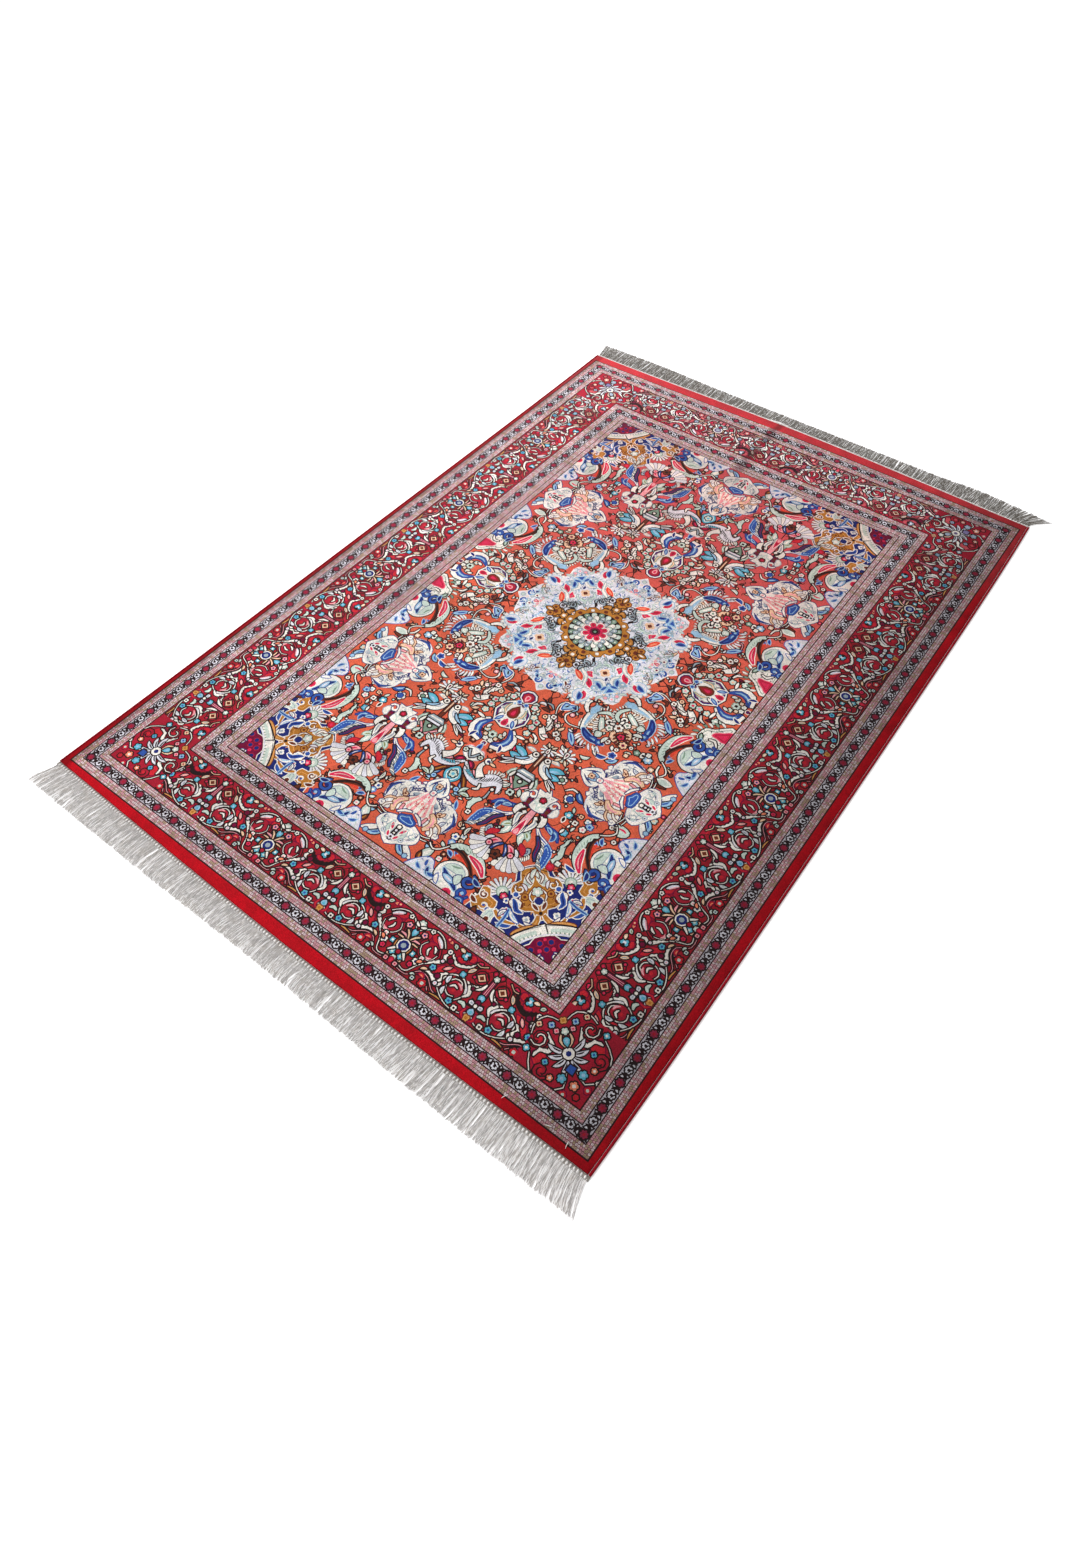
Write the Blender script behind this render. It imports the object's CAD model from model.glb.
"""The looks of a hand-knotted Persian rug with a silk pile, over the packed frame.

The frame is in metres, with X across the rug and Y along it. The pattern is drawn in centimetres over one
quarter of the rug, with x from its middle towards a side and y from its middle towards an end, and is
mirrored into the other three. It is laid out as a Blender add-on and run as a script.
"""

import cmath
import copy
import math
import random

import bmesh
import bpy
from mathutils import Matrix, Vector
from mathutils.geometry import delaunay_2d_cdt


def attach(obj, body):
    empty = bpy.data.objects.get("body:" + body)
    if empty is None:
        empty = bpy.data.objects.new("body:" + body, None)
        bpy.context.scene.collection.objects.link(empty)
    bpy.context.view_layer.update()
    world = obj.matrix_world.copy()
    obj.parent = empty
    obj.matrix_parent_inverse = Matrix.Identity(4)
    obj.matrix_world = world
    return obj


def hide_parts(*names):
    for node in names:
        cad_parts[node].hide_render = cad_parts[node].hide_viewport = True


bl_info = {
    "name": "Persian rug",
    "version": (1, 0, 0),
    "blender": (4, 5, 0),
    "location": "3D Viewport > Sidebar > Rug",
    "description": "Builds a hand-knotted Persian rug with its fringe, its cords and a plain studio",
    "category": "Add Mesh",
}

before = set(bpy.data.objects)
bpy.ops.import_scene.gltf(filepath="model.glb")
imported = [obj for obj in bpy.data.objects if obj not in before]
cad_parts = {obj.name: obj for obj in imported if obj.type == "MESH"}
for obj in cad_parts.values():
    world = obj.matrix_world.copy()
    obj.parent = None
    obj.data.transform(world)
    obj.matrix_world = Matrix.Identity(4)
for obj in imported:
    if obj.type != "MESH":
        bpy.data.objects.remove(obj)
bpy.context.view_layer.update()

# The same sizes as in the CAD source, in metres
RUG_WIDTH = 1.030
HALF_WIDTH = RUG_WIDTH / 2
HALF_LENGTH = 0.745
THICKNESS = 0.004
PIECE_GAP = 0.0003
PILE_EDGE_ROUND = 0.0009
SELVEDGE_RADIUS = 0.0021
CARPET_REACH = HALF_WIDTH - 2 * SELVEDGE_RADIUS - PIECE_GAP
STRIP_WIDTH = 0.0065
FRINGE_REACH = 0.0510
SIDE_BOWS = {"left": -0.0030, "right": 0.0060}
END_BOWS = {"near": 0.0075, "far": 0.0070}
PLAIN_BAND = (0.5030, 0.7345)  # from here outwards the plain band takes up the bow of the edges
# The guard at the far end is drawn in from this place on, by this much, and by this much more at the left
FAR_GUARD_START = 0.69
FAR_GUARD_DRAWN_IN = 0.0055
FAR_GUARD_MORE_LEFT = 0.0045
FOLD_X = -0.036
WAVES = [
    # middle x, middle y, half width, half length, heading in degrees, height
    (FOLD_X, 0.700, 0.034, 0.300, 90.0, 0.0034),
    (0.060, 0.770, 0.150, 0.480, 0.0, 0.0038),
]
CM = 0.01

BODY = "root"
SIGNS = {"near": -1, "far": 1, "left": -1, "right": 1}


def plan_point(x, y):
    """Where a point of the true rectangle lies in the rug's slightly bowed outline."""
    u = max(-1.0, min(1.0, x / CARPET_REACH))
    v = max(-1.0, min(1.0, y / HALF_LENGTH))
    side = SIDE_BOWS["right"] if u > 0 else SIDE_BOWS["left"]
    end = END_BOWS["far"] if v > 0 else END_BOWS["near"]
    share_x = max(0.0, abs(u) * CARPET_REACH - PLAIN_BAND[0]) / (CARPET_REACH - PLAIN_BAND[0])
    share_y = max(0.0, abs(v) * HALF_LENGTH - PLAIN_BAND[1]) / (HALF_LENGTH - PLAIN_BAND[1])
    outwards_x = side * share_x * (1 - v**4)
    outwards_y = end * share_y * (1 - u * u) ** 1.5
    return x + math.copysign(1.0, u) * outwards_x, y + math.copysign(1.0, v) * outwards_y - drawn_in(x, y)


def drawn_in(x, y):
    """How far the guard at the far end lies inside its true place, so that the plain band is wider there."""
    rising = (y - FAR_GUARD_START) / (PLAIN_BAND[1] - FAR_GUARD_START)
    falling = (HALF_LENGTH - y) / (HALF_LENGTH - PLAIN_BAND[1])
    share = max(0.0, min(1.0, rising, falling))
    return share * (FAR_GUARD_DRAWN_IN + FAR_GUARD_MORE_LEFT * max(0.0, -x / HALF_WIDTH))


def wave_height(x, y):
    """How far the underside stands off the floor there."""
    height = 0.0
    for middle_x, middle_y, half_width, half_length, heading, top in WAVES:
        turn = math.radians(heading)
        along = (x - middle_x) * math.cos(turn) + (y - middle_y) * math.sin(turn)
        aside = (y - middle_y) * math.cos(turn) - (x - middle_x) * math.sin(turn)
        if abs(along) < half_length and abs(aside) < half_width:
            rise = math.cos(math.pi / 2 * along / half_length) * math.cos(math.pi / 2 * aside / half_width)
            height += top * rise * rise
    return height


# The pattern starts here.

# Half the field's width and length in centimetres, and the stripes that go round it
FIELD = (31.15, 55.6)
STRIPES = [
    # name, width at the sides, width at the ends, kind
    ("field line", 0.18, 0.18, "line"),
    ("inner dots", 0.90, 0.76, "dots"),
    ("second line", 0.14, 0.14, "line"),
    ("inner dots 2", 1.16, 1.02, "dots"),
    ("line 3", 0.14, 0.14, "line"),
    ("inner flowers", 1.50, 1.36, "flowers"),
    ("line 4", 0.14, 0.14, "line"),
    ("inner dots 3", 1.26, 1.14, "dots"),
    ("line 5", 0.18, 0.18, "line"),
    ("main border", 9.10, 8.22, "border"),
    ("line 6", 0.18, 0.18, "line"),
    ("outer dots", 1.08, 1.12, "dots"),
    ("line 7", 0.14, 0.14, "line"),
    ("outer flowers", 1.52, 1.48, "flowers"),
    ("line 8", 0.14, 0.14, "line"),
    ("outer dots 2", 1.16, 1.26, "dots"),
    ("line 9", 0.20, 0.20, "line"),
]
MAIN_BORDER = 9  # its place among the stripes
# From one flower of the main border to the next, and how far its corner piece reaches from the corner
END_SPAN = 13.5
SIDE_SPAN = 13.0
CORNER_REACH = 10.6
SLAB = (51.05, 74.5)  # half the pile's width and length

YARNS = {
    "coral": "#DC6448",
    "coral_far": "#D2585C",
    "faded": "#C4A4AA",
    "brick": "#E84A36",
    "red": "#A2202E",
    "scarlet": "#CC2A36",
    "crimson": "#AC2236",
    "band": "#C4101F",
    "ivory": "#F3EDE4",
    "pearl": "#E4E2EA",
    "silver": "#CEC8D0",
    "sage": "#CCDACF",
    "olive": "#8C9460",
    "sky": "#9CC2DE",
    "turquoise": "#62B6CE",
    "royal": "#3558A8",
    "navy": "#232E74",
    "indigo": "#35396E",
    "gold": "#BC7C32",
    "amber": "#DC9C58",
    "maroon": "#78123A",
    "plum": "#94304A",
    "rose": "#E03058",
    "pink": "#F4A4AC",
    "beige": "#F0C8A6",
    "brown": "#6E3322",
    "grey": "#A0AEB6",
    "moss": "#7E9A86",
    "ink": "#2B1D1E",
    "salmon": "#F48E6C",
}


FOLDED = 0.5  # two sides whose ways add up to less than this turn back on each other
LONGEST_MITRE = 1.6


def grow(points, by):
    """The outline, wider by that much all round."""
    count = len(points)
    area = sum((points[i - 1].conjugate() * points[i]).imag for i in range(count))
    side = math.copysign(1.0, area)
    grown = []
    for index, point in enumerate(points):
        into = point - points[index - 1]
        out = points[(index + 1) % count] - point
        if abs(into) < 1e-9 or abs(out) < 1e-9:
            continue
        into /= abs(into)
        out /= abs(out)
        total = into + out
        if abs(total) < FOLDED:
            forward = into - out
            grown.append(point + 1.5 * by * forward / abs(forward))
        else:
            grown.append(point - 1j * side * by * total / abs(total) * min(LONGEST_MITRE, 2 / abs(total)))
    return grown


class Spot:
    """Where a motif is drawn: its place, the way it points, its scale, and whether it is turned over."""

    def __init__(self, x=0.0, y=0.0, heading=0.0, scale=1.0, flipped=False):
        self.place = complex(x, y)
        self.turn = cmath.rect(scale, math.radians(heading))
        self.flipped = flipped

    def __call__(self, point):
        return self.place + self.turn * (point.conjugate() if self.flipped else point)

    def at(self, x, y, heading=0.0, scale=1.0, flipped=False):
        """A spot in this one's own frame."""
        inner = Spot(x, y, heading, scale)
        made = Spot()
        made.place = self(inner.place)
        made.turn = self.turn * (inner.turn.conjugate() if self.flipped else inner.turn)
        made.flipped = self.flipped != flipped
        return made

    def halves(self):
        """This spot and its mirror image across the way it points."""
        mirrored = copy.copy(self)
        mirrored.flipped = not self.flipped
        return self, mirrored


INK_SHARE = 1.35  # how much wider a dark outline is than the others


class Pattern:
    """Coloured outlines in the order in which they are laid over each other."""

    def __init__(self):
        self.shapes = []

    def paint(self, spot, outline, colour, edge=None, edge_width=0.12, stripe=None):
        points = [spot(complex(point)) for point in outline]
        if edge:
            by = edge_width * INK_SHARE if edge == "ink" else edge_width
            self.shapes.append((grow(points, by), edge, None))
        self.shapes.append((points, colour, stripe))


# Outlines and paths, as complex numbers in centimetres. A motif points along the real axis.


def arc(centre, radius, start, stop, count):
    """Points on a circle from one angle to another, in degrees, both ends among them."""
    step = (stop - start) / (count - 1)
    return [centre + cmath.rect(radius, math.radians(start + step * i)) for i in range(count)]


def disc(radius, count=8, centre=0j):
    return arc(centre, radius, 0, 360 - 360 / count, count)


def lobed(radius, petals, depth=0.25, start=0.0):
    """A flower's outline: three points to a petal."""
    points = []
    for petal in range(petals):
        for share, out in ((0.0, 1 - depth), (0.3, 1.0), (0.7, 1.0)):
            angle = start + 360 * (petal + share) / petals
            points.append(cmath.rect(radius * out, math.radians(angle)))
    return points


def between(a, b, c, d, steps):
    """Points on the smooth way from b up to c, where it comes from a and goes on to d."""
    way = []
    for step in range(steps):
        t = step / steps
        square = (2 * a - 5 * b + 4 * c - d) * t * t
        cube = (3 * b - a - 3 * c + d) * t**3
        way.append(0.5 * (2 * b + (c - a) * t + square + cube))
    return way


def curve(*points, steps=3):
    """A smooth path through the points."""
    points = [complex(point) for point in points]
    ends = [2 * points[0] - points[1]] + points + [2 * points[-1] - points[-2]]
    path = []
    for four in zip(ends, ends[1:], ends[2:], ends[3:]):
        path.extend(between(*four, steps))
    path.append(points[-1])
    return path


def closed_curve(points, steps=2):
    """A smooth outline through the points."""
    path = []
    count = len(points)
    for index in range(count):
        four = [points[(index + shift) % count] for shift in (-1, 0, 1, 2)]
        path.extend(between(*four, steps))
    return path


def ribbon(path, start, middle, end):
    """The outline of a band along a path, with its widths at the start, the middle and the end."""
    count = len(path)
    left = []
    right = []
    for index, point in enumerate(path):
        t = index / (count - 1)
        width = (1 - t) * start + t * end + 4 * t * (1 - t) * (middle - (start + end) / 2)
        ahead = path[min(index + 1, count - 1)] - path[max(index - 1, 0)]
        aside = 0.5j * width * ahead / max(abs(ahead), 1e-9)
        left.append(point + aside)
        if width > 0.02:
            right.append(point - aside)
    return left + right[::-1]


def lens(length, width, bend=0.0, steps=2):
    """A pointed leaf from the origin along the real axis, bent aside by a share of its length."""
    path = curve(0, complex(0.3, bend) * length, complex(0.7, bend) * length, length, steps=steps)
    return ribbon(path, 0, width, 0)


def drop(length, width):
    """A petal with a round end and a pointed foot at the origin."""
    half = width / 2
    shoulder = length - half
    waist = complex(shoulder * 0.55, 0.78 * half)
    return [0j, waist.conjugate()] + arc(shoulder, half, -75, 75, 5) + [waist]


def coil(radius, turns, start=0.0, inner=0.25, steps=9):
    """A spiral path that winds inwards from the radius, and starts at an angle in degrees."""
    count = max(4, round(turns * steps))
    path = []
    for index in range(count + 1):
        t = index / count
        angle = math.radians(start + 360 * turns * t)
        path.append(cmath.rect(radius * (1 - (1 - inner) * t), angle))
    return path


def saw(path, width, depth):
    """A band whose left side is cut into slanting teeth, as a feather's is."""
    count = len(path)
    left = []
    right = []
    for index, point in enumerate(path):
        ahead = path[min(index + 1, count - 1)] - path[max(index - 1, 0)]
        aside = 1j * ahead / max(abs(ahead), 1e-9)
        t = index / (count - 1)
        body = width * math.sin(math.pi * min(1.0, 0.12 + 0.88 * t)) if t < 1 else 0.0
        right.append(point - 0.35 * body * aside)
        left.append(point + (0.5 * body + (depth if index % 2 else 0.0)) * aside)
    return left + right[::-1]


# Motifs as tables of strokes. A semicolon or the end of a line ends a stroke, and a line that ends with a
# comma goes on in the next. A stroke is its kind, its tones, its numbers, and for some the points of a path
# after a colon. The tones are fill/edge/heart: the edge is ink where none is named, and a dash stands for
# none. A star before the kind draws the stroke on both sides of the motif's axis. All in centimetres and
# degrees.

EDGE = 0.15  # the width of an outline
GOLDEN_ANGLE = 137.5


def draw_band(p, spot, tones, numbers, path):
    """A ribbon along a path: its widths at the start, the middle and the end."""
    fill, edge, heart = tones
    start, middle, end = numbers
    way = curve(*path, steps=2)
    p.paint(spot, ribbon(way, start, middle, end), fill, edge, EDGE)
    if heart:
        p.paint(spot, ribbon(way[1:-1], 0.3 * start, 0.38 * middle, 0.3 * end), heart)


def draw_leaf(p, spot, tones, numbers, path):
    """A pointed leaf: x, y, heading, length, width, bend."""
    fill, edge, heart = tones
    x, y, heading, length, width, bend = numbers
    foot = spot.at(x, y, heading)
    p.paint(foot, lens(length, width, bend), fill, edge, EDGE)
    if heart:
        p.paint(foot.at(length * 0.14, 0), lens(length * 0.66, width * 0.4, bend * 1.1, 1), heart)


def draw_drop(p, spot, tones, numbers, path):
    """A petal with a round end: x, y, heading, length, width."""
    fill, edge, heart = tones
    x, y, heading, length, width = numbers
    foot = spot.at(x, y, heading)
    p.paint(foot, drop(length, width), fill, edge, EDGE)
    if heart:
        p.paint(foot.at(length * 0.3, 0), drop(length * 0.55, width * 0.52), heart)


def draw_bloom(p, spot, tones, numbers, path):
    """A flower: x, y, radius, petals."""
    fill, edge, heart = tones
    x, y, radius, petals = numbers
    middle = spot.at(x, y)
    p.paint(middle, lobed(radius, round(petals), 0.28), fill, edge, EDGE)
    if heart:
        p.paint(middle, lobed(radius * 0.45, 4, 0.2), heart)


def draw_disc(p, spot, tones, numbers, path):
    """A disc, with a smaller one in it: x, y, radius."""
    fill, edge, heart = tones
    x, y, radius = numbers
    count = 6 if radius < 0.5 else 9
    p.paint(spot.at(x, y), disc(radius, count), fill, edge, EDGE)
    if heart:
        p.paint(spot.at(x, y), disc(radius * 0.5, max(4, count - 2)), heart)


def draw_patch(p, spot, tones, numbers, path):
    """A smooth area, with a line inside it at the given inset."""
    fill, edge, heart = tones
    outline = closed_curve(path)
    p.paint(spot, outline, fill, edge, EDGE)
    if heart:
        inset = numbers[0]
        p.paint(spot, grow(outline, -inset), heart)
        p.paint(spot, grow(outline, -inset - 0.13), fill)


def draw_plot(p, spot, tones, numbers, path):
    """An area with straight sides."""
    fill, edge, _ = tones
    p.paint(spot, path, fill, edge, EDGE)


def draw_barbs(p, spot, tones, numbers, path):
    """A row of leaves along a path: length, width, lean from the path, and how many."""
    fill, edge, heart = tones
    length, width, lean, count = numbers
    way = curve(*path, steps=8)
    for index in range(round(count)):
        at = (index + 0.5) / count * (len(way) - 1)
        near = min(int(at), len(way) - 2)
        place = way[near] + (way[near + 1] - way[near]) * (at - near)
        heading = math.degrees(cmath.phase(way[near + 1] - way[near])) + lean
        tone = heart if heart and index % 2 else fill
        p.paint(spot.at(place.real, place.imag, heading), lens(length, width, 0.08, 1), tone, edge, 0.06)


def draw_coil(p, spot, tones, numbers, path):
    """A scroll that winds inwards: x, y, radius, turns (a minus sign turns it over), start, width."""
    fill, edge, heart = tones
    x, y, radius, turns, start, width = numbers
    middle = spot.at(x, y, start, 1.0, turns < 0)
    way = coil(radius, abs(turns), 0, 0.28, 9)
    p.paint(middle, ribbon(way, width * 0.6, width, width * 0.7), fill, edge, EDGE)
    if heart:
        p.paint(middle, disc(radius * 0.3, 6), heart)


def draw_saw(p, spot, tones, numbers, path):
    """A toothed leaf along a path: its width and the depth of its teeth."""
    fill, edge, heart = tones
    width, depth = numbers
    way = curve(*path)
    p.paint(spot, saw(way, width, depth), fill, edge, EDGE)
    if heart:
        p.paint(spot, ribbon(way[1:-1], 0.1, width * 0.3, 0.08), heart)


def draw_fan(p, spot, tones, numbers, path):
    """A fan of petals: x, y, heading, radius, petals, spread."""
    fill, edge, heart = tones
    x, y, heading, radius, petals, spread = numbers
    for petal in range(round(petals)):
        angle = spread * (petal / (petals - 1) - 0.5)
        tone = heart if heart and petal % 2 else fill
        p.paint(spot.at(x, y, heading + angle), drop(radius, 1.75 * radius / petals), tone, edge, 0.07)


def draw_marks(p, spot, tones, numbers, path):
    """Short curled strokes spread evenly over a disc: x, y, radius, size, how many."""
    fill, _, heart = tones
    x, y, radius, size, count = numbers
    curl = ribbon(curve(0, complex(0.5, 0.4) * size, size, steps=1), 0.08, 0.34 * size, 0.06)
    for index in range(round(count)):
        angle = GOLDEN_ANGLE * index
        place = cmath.rect(radius * math.sqrt((index + 0.5) / count), math.radians(angle))
        mark = spot.at(x, y).at(place.real, place.imag, 3 * angle)
        p.paint(mark, curl, heart if heart and index % 2 else fill)


STROKES = {
    "band": draw_band, "leaf": draw_leaf, "drop": draw_drop, "bloom": draw_bloom, "disc": draw_disc,
    "patch": draw_patch, "plot": draw_plot, "barbs": draw_barbs, "coil": draw_coil, "saw": draw_saw,
    "fan": draw_fan, "marks": draw_marks,
}


def draw(p, spot, table):
    """Lays a table of strokes over the pattern, in order."""
    for stroke in table.strip().replace(",\n", ",").replace("\n", ";").split(";"):
        head, _, way = stroke.partition(":")
        kind, tones, *numbers = head.split()
        fill, edge, heart = (tones.split("/") + ["", "-"][tones.count("/") :])[:3]
        tones = [None if tone == "-" else tone for tone in (fill, edge or "ink", heart)]
        numbers = [float(number) for number in numbers]
        path = []
        for point in way.split(",") if way else ():
            x, y = point.split()
            path.append(complex(float(x), float(y)))
        for side in spot.halves() if kind[0] == "*" else (spot,):
            STROKES[kind.lstrip("*")](p, side, tones, numbers, path)


# The field. Its tables hold places in centimetres from the rug's middle, unless a motif has its own frame.

# One eighth of the medallion: it is drawn once as it stands and once with x and y exchanged.
MEDALLION_TIP = """
patch pearl/ivory : 17 0, 15.9 1, 15.3 2.6, 14.7 4.2, 13 4.8, 9 4, 8 0, 9 -4, 13 -4.8, 15.9 -1
band pearl/grey .3 .7 .3 : 9.6 2.2, 11.2 2.6, 12.9 2; band pearl/grey .2 .5 .2 : 12 3.6, 13.2 3.2, 14.2 3.4
marks grey/-/brown 12.6 2.3 2.4 .5 22; marks beige/-/grey 14.4 0 1.5 .5 9
fan pink/grey/beige 9.9 0 0 2.8 7 80; leaf royal/ivory/sky 9.7 .9 55 1.5 .6 .1
drop rose/ivory/pink 12.3 0 0 1.2 .8; coil royal/ivory/sky 15 1.3 .85 1.1 160 .42
leaf navy/sky 13.9 2.3 -50 1.2 .5 .1; bloom ivory/grey/maroon 13.7 1.2 .5 4
leaf brown/ivory 12.6 2.6 40 1 .4 .1; bloom pearl/brown/brown 13.3 3.7 .42 4
leaf beige/brown 14.2 3.4 80 1 .4 .1; bloom beige//brown 11.5 3.8 .42 5; leaf sky/grey 10.2 3.4 20 1.2 .5 .1
disc pink/grey 12.5 1.4 .3; disc sage/grey 16 0 .34
"""
MEDALLION_LOBE = """
patch rose/ivory/pink .3 : 8 5, 8.9 4, 9.2 4.9, 9.1 5.9, 8.5 5.4
leaf brick/ivory/salmon 9.3 2.4 58 2.8 1.1 .05; leaf rose/ivory/crimson 9.7 5 48 2.5 1.1 .05
band ivory/grey .2 .5 .2 : 7.8 2.9, 8.7 3.6, 9.5 4.8, 11.6 5.6
band ivory/grey .2 .5 .1 : 9.5 6.4, 8.8 7.3, 9.3 8.5, 10.2 8.9
band sky/- .1 .3 .1 : 9.9 6.3, 9.4 7.2, 9.7 8.2; leaf royal/sky/navy 9.6 7 62 1.7 .7 0
leaf indigo/pearl 7.6 7.9 10 1 .5 0; coil sky/grey/ivory 10.9 7.4 .6 1 90 .2
band sage/grey .15 .35 .1 : 6.1 5.6, 7.2 5, 8 5.9; leaf pearl/grey/grey 6.9 3.6 20 1.4 .6 .1
leaf sage/grey/moss 5.7 5.6 100 1.5 .6 .2; coil grey 7.1 3.1 .7 1 20 .24; coil pearl 8.3 2 .7 -1 60 .26
leaf ink/grey 6.6 1.9 30 1.2 .3 .2; leaf grey 7.9 3.3 -20 1.3 .36 -.2; leaf grey 6 3.9 10 1.2 .36 .2
disc ivory 7.5 2.4 .2; leaf ink/- 8 2.6 70 1 .26 .1; disc sage/grey 5.6 4.9 .24
marks grey/-/ink 7.4 3 1.7 .5 18; marks grey/-/moss 10.6 4 2 .5 10; leaf pearl/sky 11.2 8.9 100 1.6 .5 .1
disc pink/grey 11.6 10.2 .34; leaf beige/grey 10.6 9.2 30 1 .4 .1; disc sky/royal 8.9 9.1 .3
"""
MEDALLION_DIAGONAL = """
bloom beige/pearl/brown 9.9 0 1 4; plot sky/ivory : 12.9 0, 14.5 1.3, 14.5 -1.3
plot royal/sky : 13.4 0, 14.3 .7, 14.3 -.7; *leaf royal/sky 13 .3 60 1.3 .5 0
bloom pearl/grey/pink 15.9 0 .5 5; *leaf sage/grey 15 1.5 70 1.2 .4 .1
"""
EYE_PALMETTE = """
bloom ivory/grey 0 0 2 11; disc pearl/sky 0 0 1.4; leaf rose/ivory/crimson -1.1 -.2 20 2.1 1 .1
leaf royal/sky/navy -.4 -.6 25 1.8 .8 .1
"""
GOLD_ARM = """
*band gold//amber .4 .8 .3 : 5.8 .3, 6.7 1.4, 6 2.2; *band gold//amber .7 .6 .3 : 5.4 .4, 7.2 .5, 8.2 1.2
bloom gold//ivory 6.8 0 .8 5; bloom gold//brown 8.6 0 1.1 5; *disc gold/brown/brown 9.2 .9 .62
leaf gold//ivory 9 0 0 1.7 .9 0
"""

# Drawn once as it stands and once with x and y exchanged
INNER_GROUND = """
band ink/- .14 .2 .14 : 2.1 14.9, 2.6 16, 3 17.4, 2.2 18.2; bloom brown//beige 2.4 15.4 .4 4
leaf brown 3 17 60 1.2 .4 .1; band ink/- .2 .42 .2 : 1.9 17.9, 3 18.2, 3.9 19, 4.9 19.2
band grey .1 .3 .1 : 3.2 18.3, 4.1 18.2, 4.8 18.8; leaf brown 4.6 19.7 180 1.5 .5 .1
leaf pearl//beige 3.4 18.9 170 1.3 .5 .2; band ink/- .15 .2 .15 : 3.4 15.2, 4 16, 3.2 17, 3.7 18
band ivory .1 .18 .12 : 5.7 19.4, 5.1 18, 5.2 16.8, 6 16
patch royal/ivory/sky .25 : 5.5 16.4, 6.6 16.2, 7.6 15.8, 7.4 16.8, 6.6 17.6, 5.7 18.1
leaf navy/sky 6.9 16.5 -30 1.2 .5 .2; band sky .2 .24 .1 : 7.5 15.9, 8 16.6, 7.4 17.4
leaf ink/- 5.9 17.3 -60 1 .3 .1; band brown .1 .3 .1 : 6.9 19.3, 6.2 19, 6.3 18.2
band ivory .12 .2 .3 : 10.4 19.4, 8.8 19.8, 7.6 19.4, 7.1 18.4, 7.6 17.6; disc pink//ivory 8 17.9 .42
barbs ivory 1.2 .34 160 7 : 10.2 15.2, 10.1 16.6, 10 18, 10.2 19.6
band ivory//sky 1.4 1.5 .6 : 10.6 13.9, 10.5 15.6, 10.6 17.6, 10.9 19.4
patch sky/grey : 9.7 13.9, 11 13.7, 10.9 15, 10.3 15.9, 9.8 15
band ivory .4 .7 .3 : 9.6 15.8, 8.8 15, 8.5 14, 8.9 13.4; leaf coral 9.3 14.6 -80 1.2 .6 0
marks ink/-/beige 12.6 16.6 1.6 .5 12; barbs ivory//beige 2 .42 60 9 : 11 18.8, 11 17, 11.4 15.4, 12.5 14.3
band grey/- .1 .2 .1 : 11 15, 11 16.4, 10.9 18.6; band sage .3 .7 .4 : 11.2 15, 12.4 14, 13.8 14, 14.4 15
barbs ivory .6 .26 -90 9 : 11 14.4, 12.2 13.6, 13.8 13.6, 14.8 14.6; disc ivory//ink 13.7 15.5 .6
leaf ivory 13.9 15.6 -10 1.1 .5 0; band sage//ivory .6 .9 .5 : 12.2 15.4, 12.9 16.6, 13.6 17.6, 14.4 18.1
barbs ivory .9 .3 70 6 : 12.2 16.2, 12.7 17.4, 13.4 18.4
patch sage//ivory .3 : 13 18.3, 14 18, 14.2 18.9, 13.4 19.3; disc ivory//sage 14.9 16.4 .5
barbs ivory//pearl 1.5 .4 60 8 : 11.2 19.9, 12.1 20.8, 13.4 21.1, 15.2 20.6
band navy/sky/royal .4 1.2 .3 : 10.9 19, 12 19.8, 13.6 20.2, 15.6 20
leaf royal/navy/sky 12.6 20 10 2.4 .8 -.1; bloom royal/navy/sky 14.7 20 .6 5
leaf sky/navy/royal 9.5 20.8 46 3.2 .9 0; band pink .1 .14 .1 : 11.8 22.8, 12.8 22.6, 13.2 21.9
leaf pearl 9.2 20.6 10 .9 .3 .1; band pink .25 .34 .2 : 5.9 19.6, 6.7 20.8, 6.8 22.4, 6.3 23.8
band ivory .5 .9 .4 : 5 20.5, 5.9 21.2, 6.5 22.6, 5.8 23.6
saw ivory .8 .2 : 4.4 20.6, 5.4 20.4, 5.9 21.4, 6.2 22.4
band beige .4 .8 .3 : 6.8 21, 7.7 21.6, 8.3 22.4, 9 22.8; disc ivory//pink 7.4 21.2 .4
marks ink/-/brown 6.8 22.3 2 .5 22; bloom ivory//brown 8.2 22.8 .6 5
band ivory .6 1 .3 : 5.3 22.8, 6 23.6, 6.7 24.4, 7.3 24.9; leaf ivory//pink 6.4 24.3 -30 1.6 .6 .1
disc brown//beige 5.1 22.9 .34; disc beige//brown 4.6 20.9 .42; leaf beige 7.9 21.9 -60 1.2 .5 .1
bloom ivory//brown 5.8 20.1 .5 4; leaf brown 7.2 23.4 20 1.2 .4 .1; disc ivory//brown 9 23.4 .4
leaf ink/- 3.8 24.9 -10 1.8 .5 .1; band ivory .2 .4 .1 : 5.2 25, 6.1 25.4, 6.4 26.3
bloom sage//pink 2 19.9 .56 5; bloom sage//brown 3 21.4 .62 5; bloom sage//rose 4.2 22.8 .62 5
bloom sage//pink 4.2 24 .6 5; bloom sage//beige 4.3 25.5 .6 5; bloom beige//sage 2.9 20.6 .4 4
"""
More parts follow.
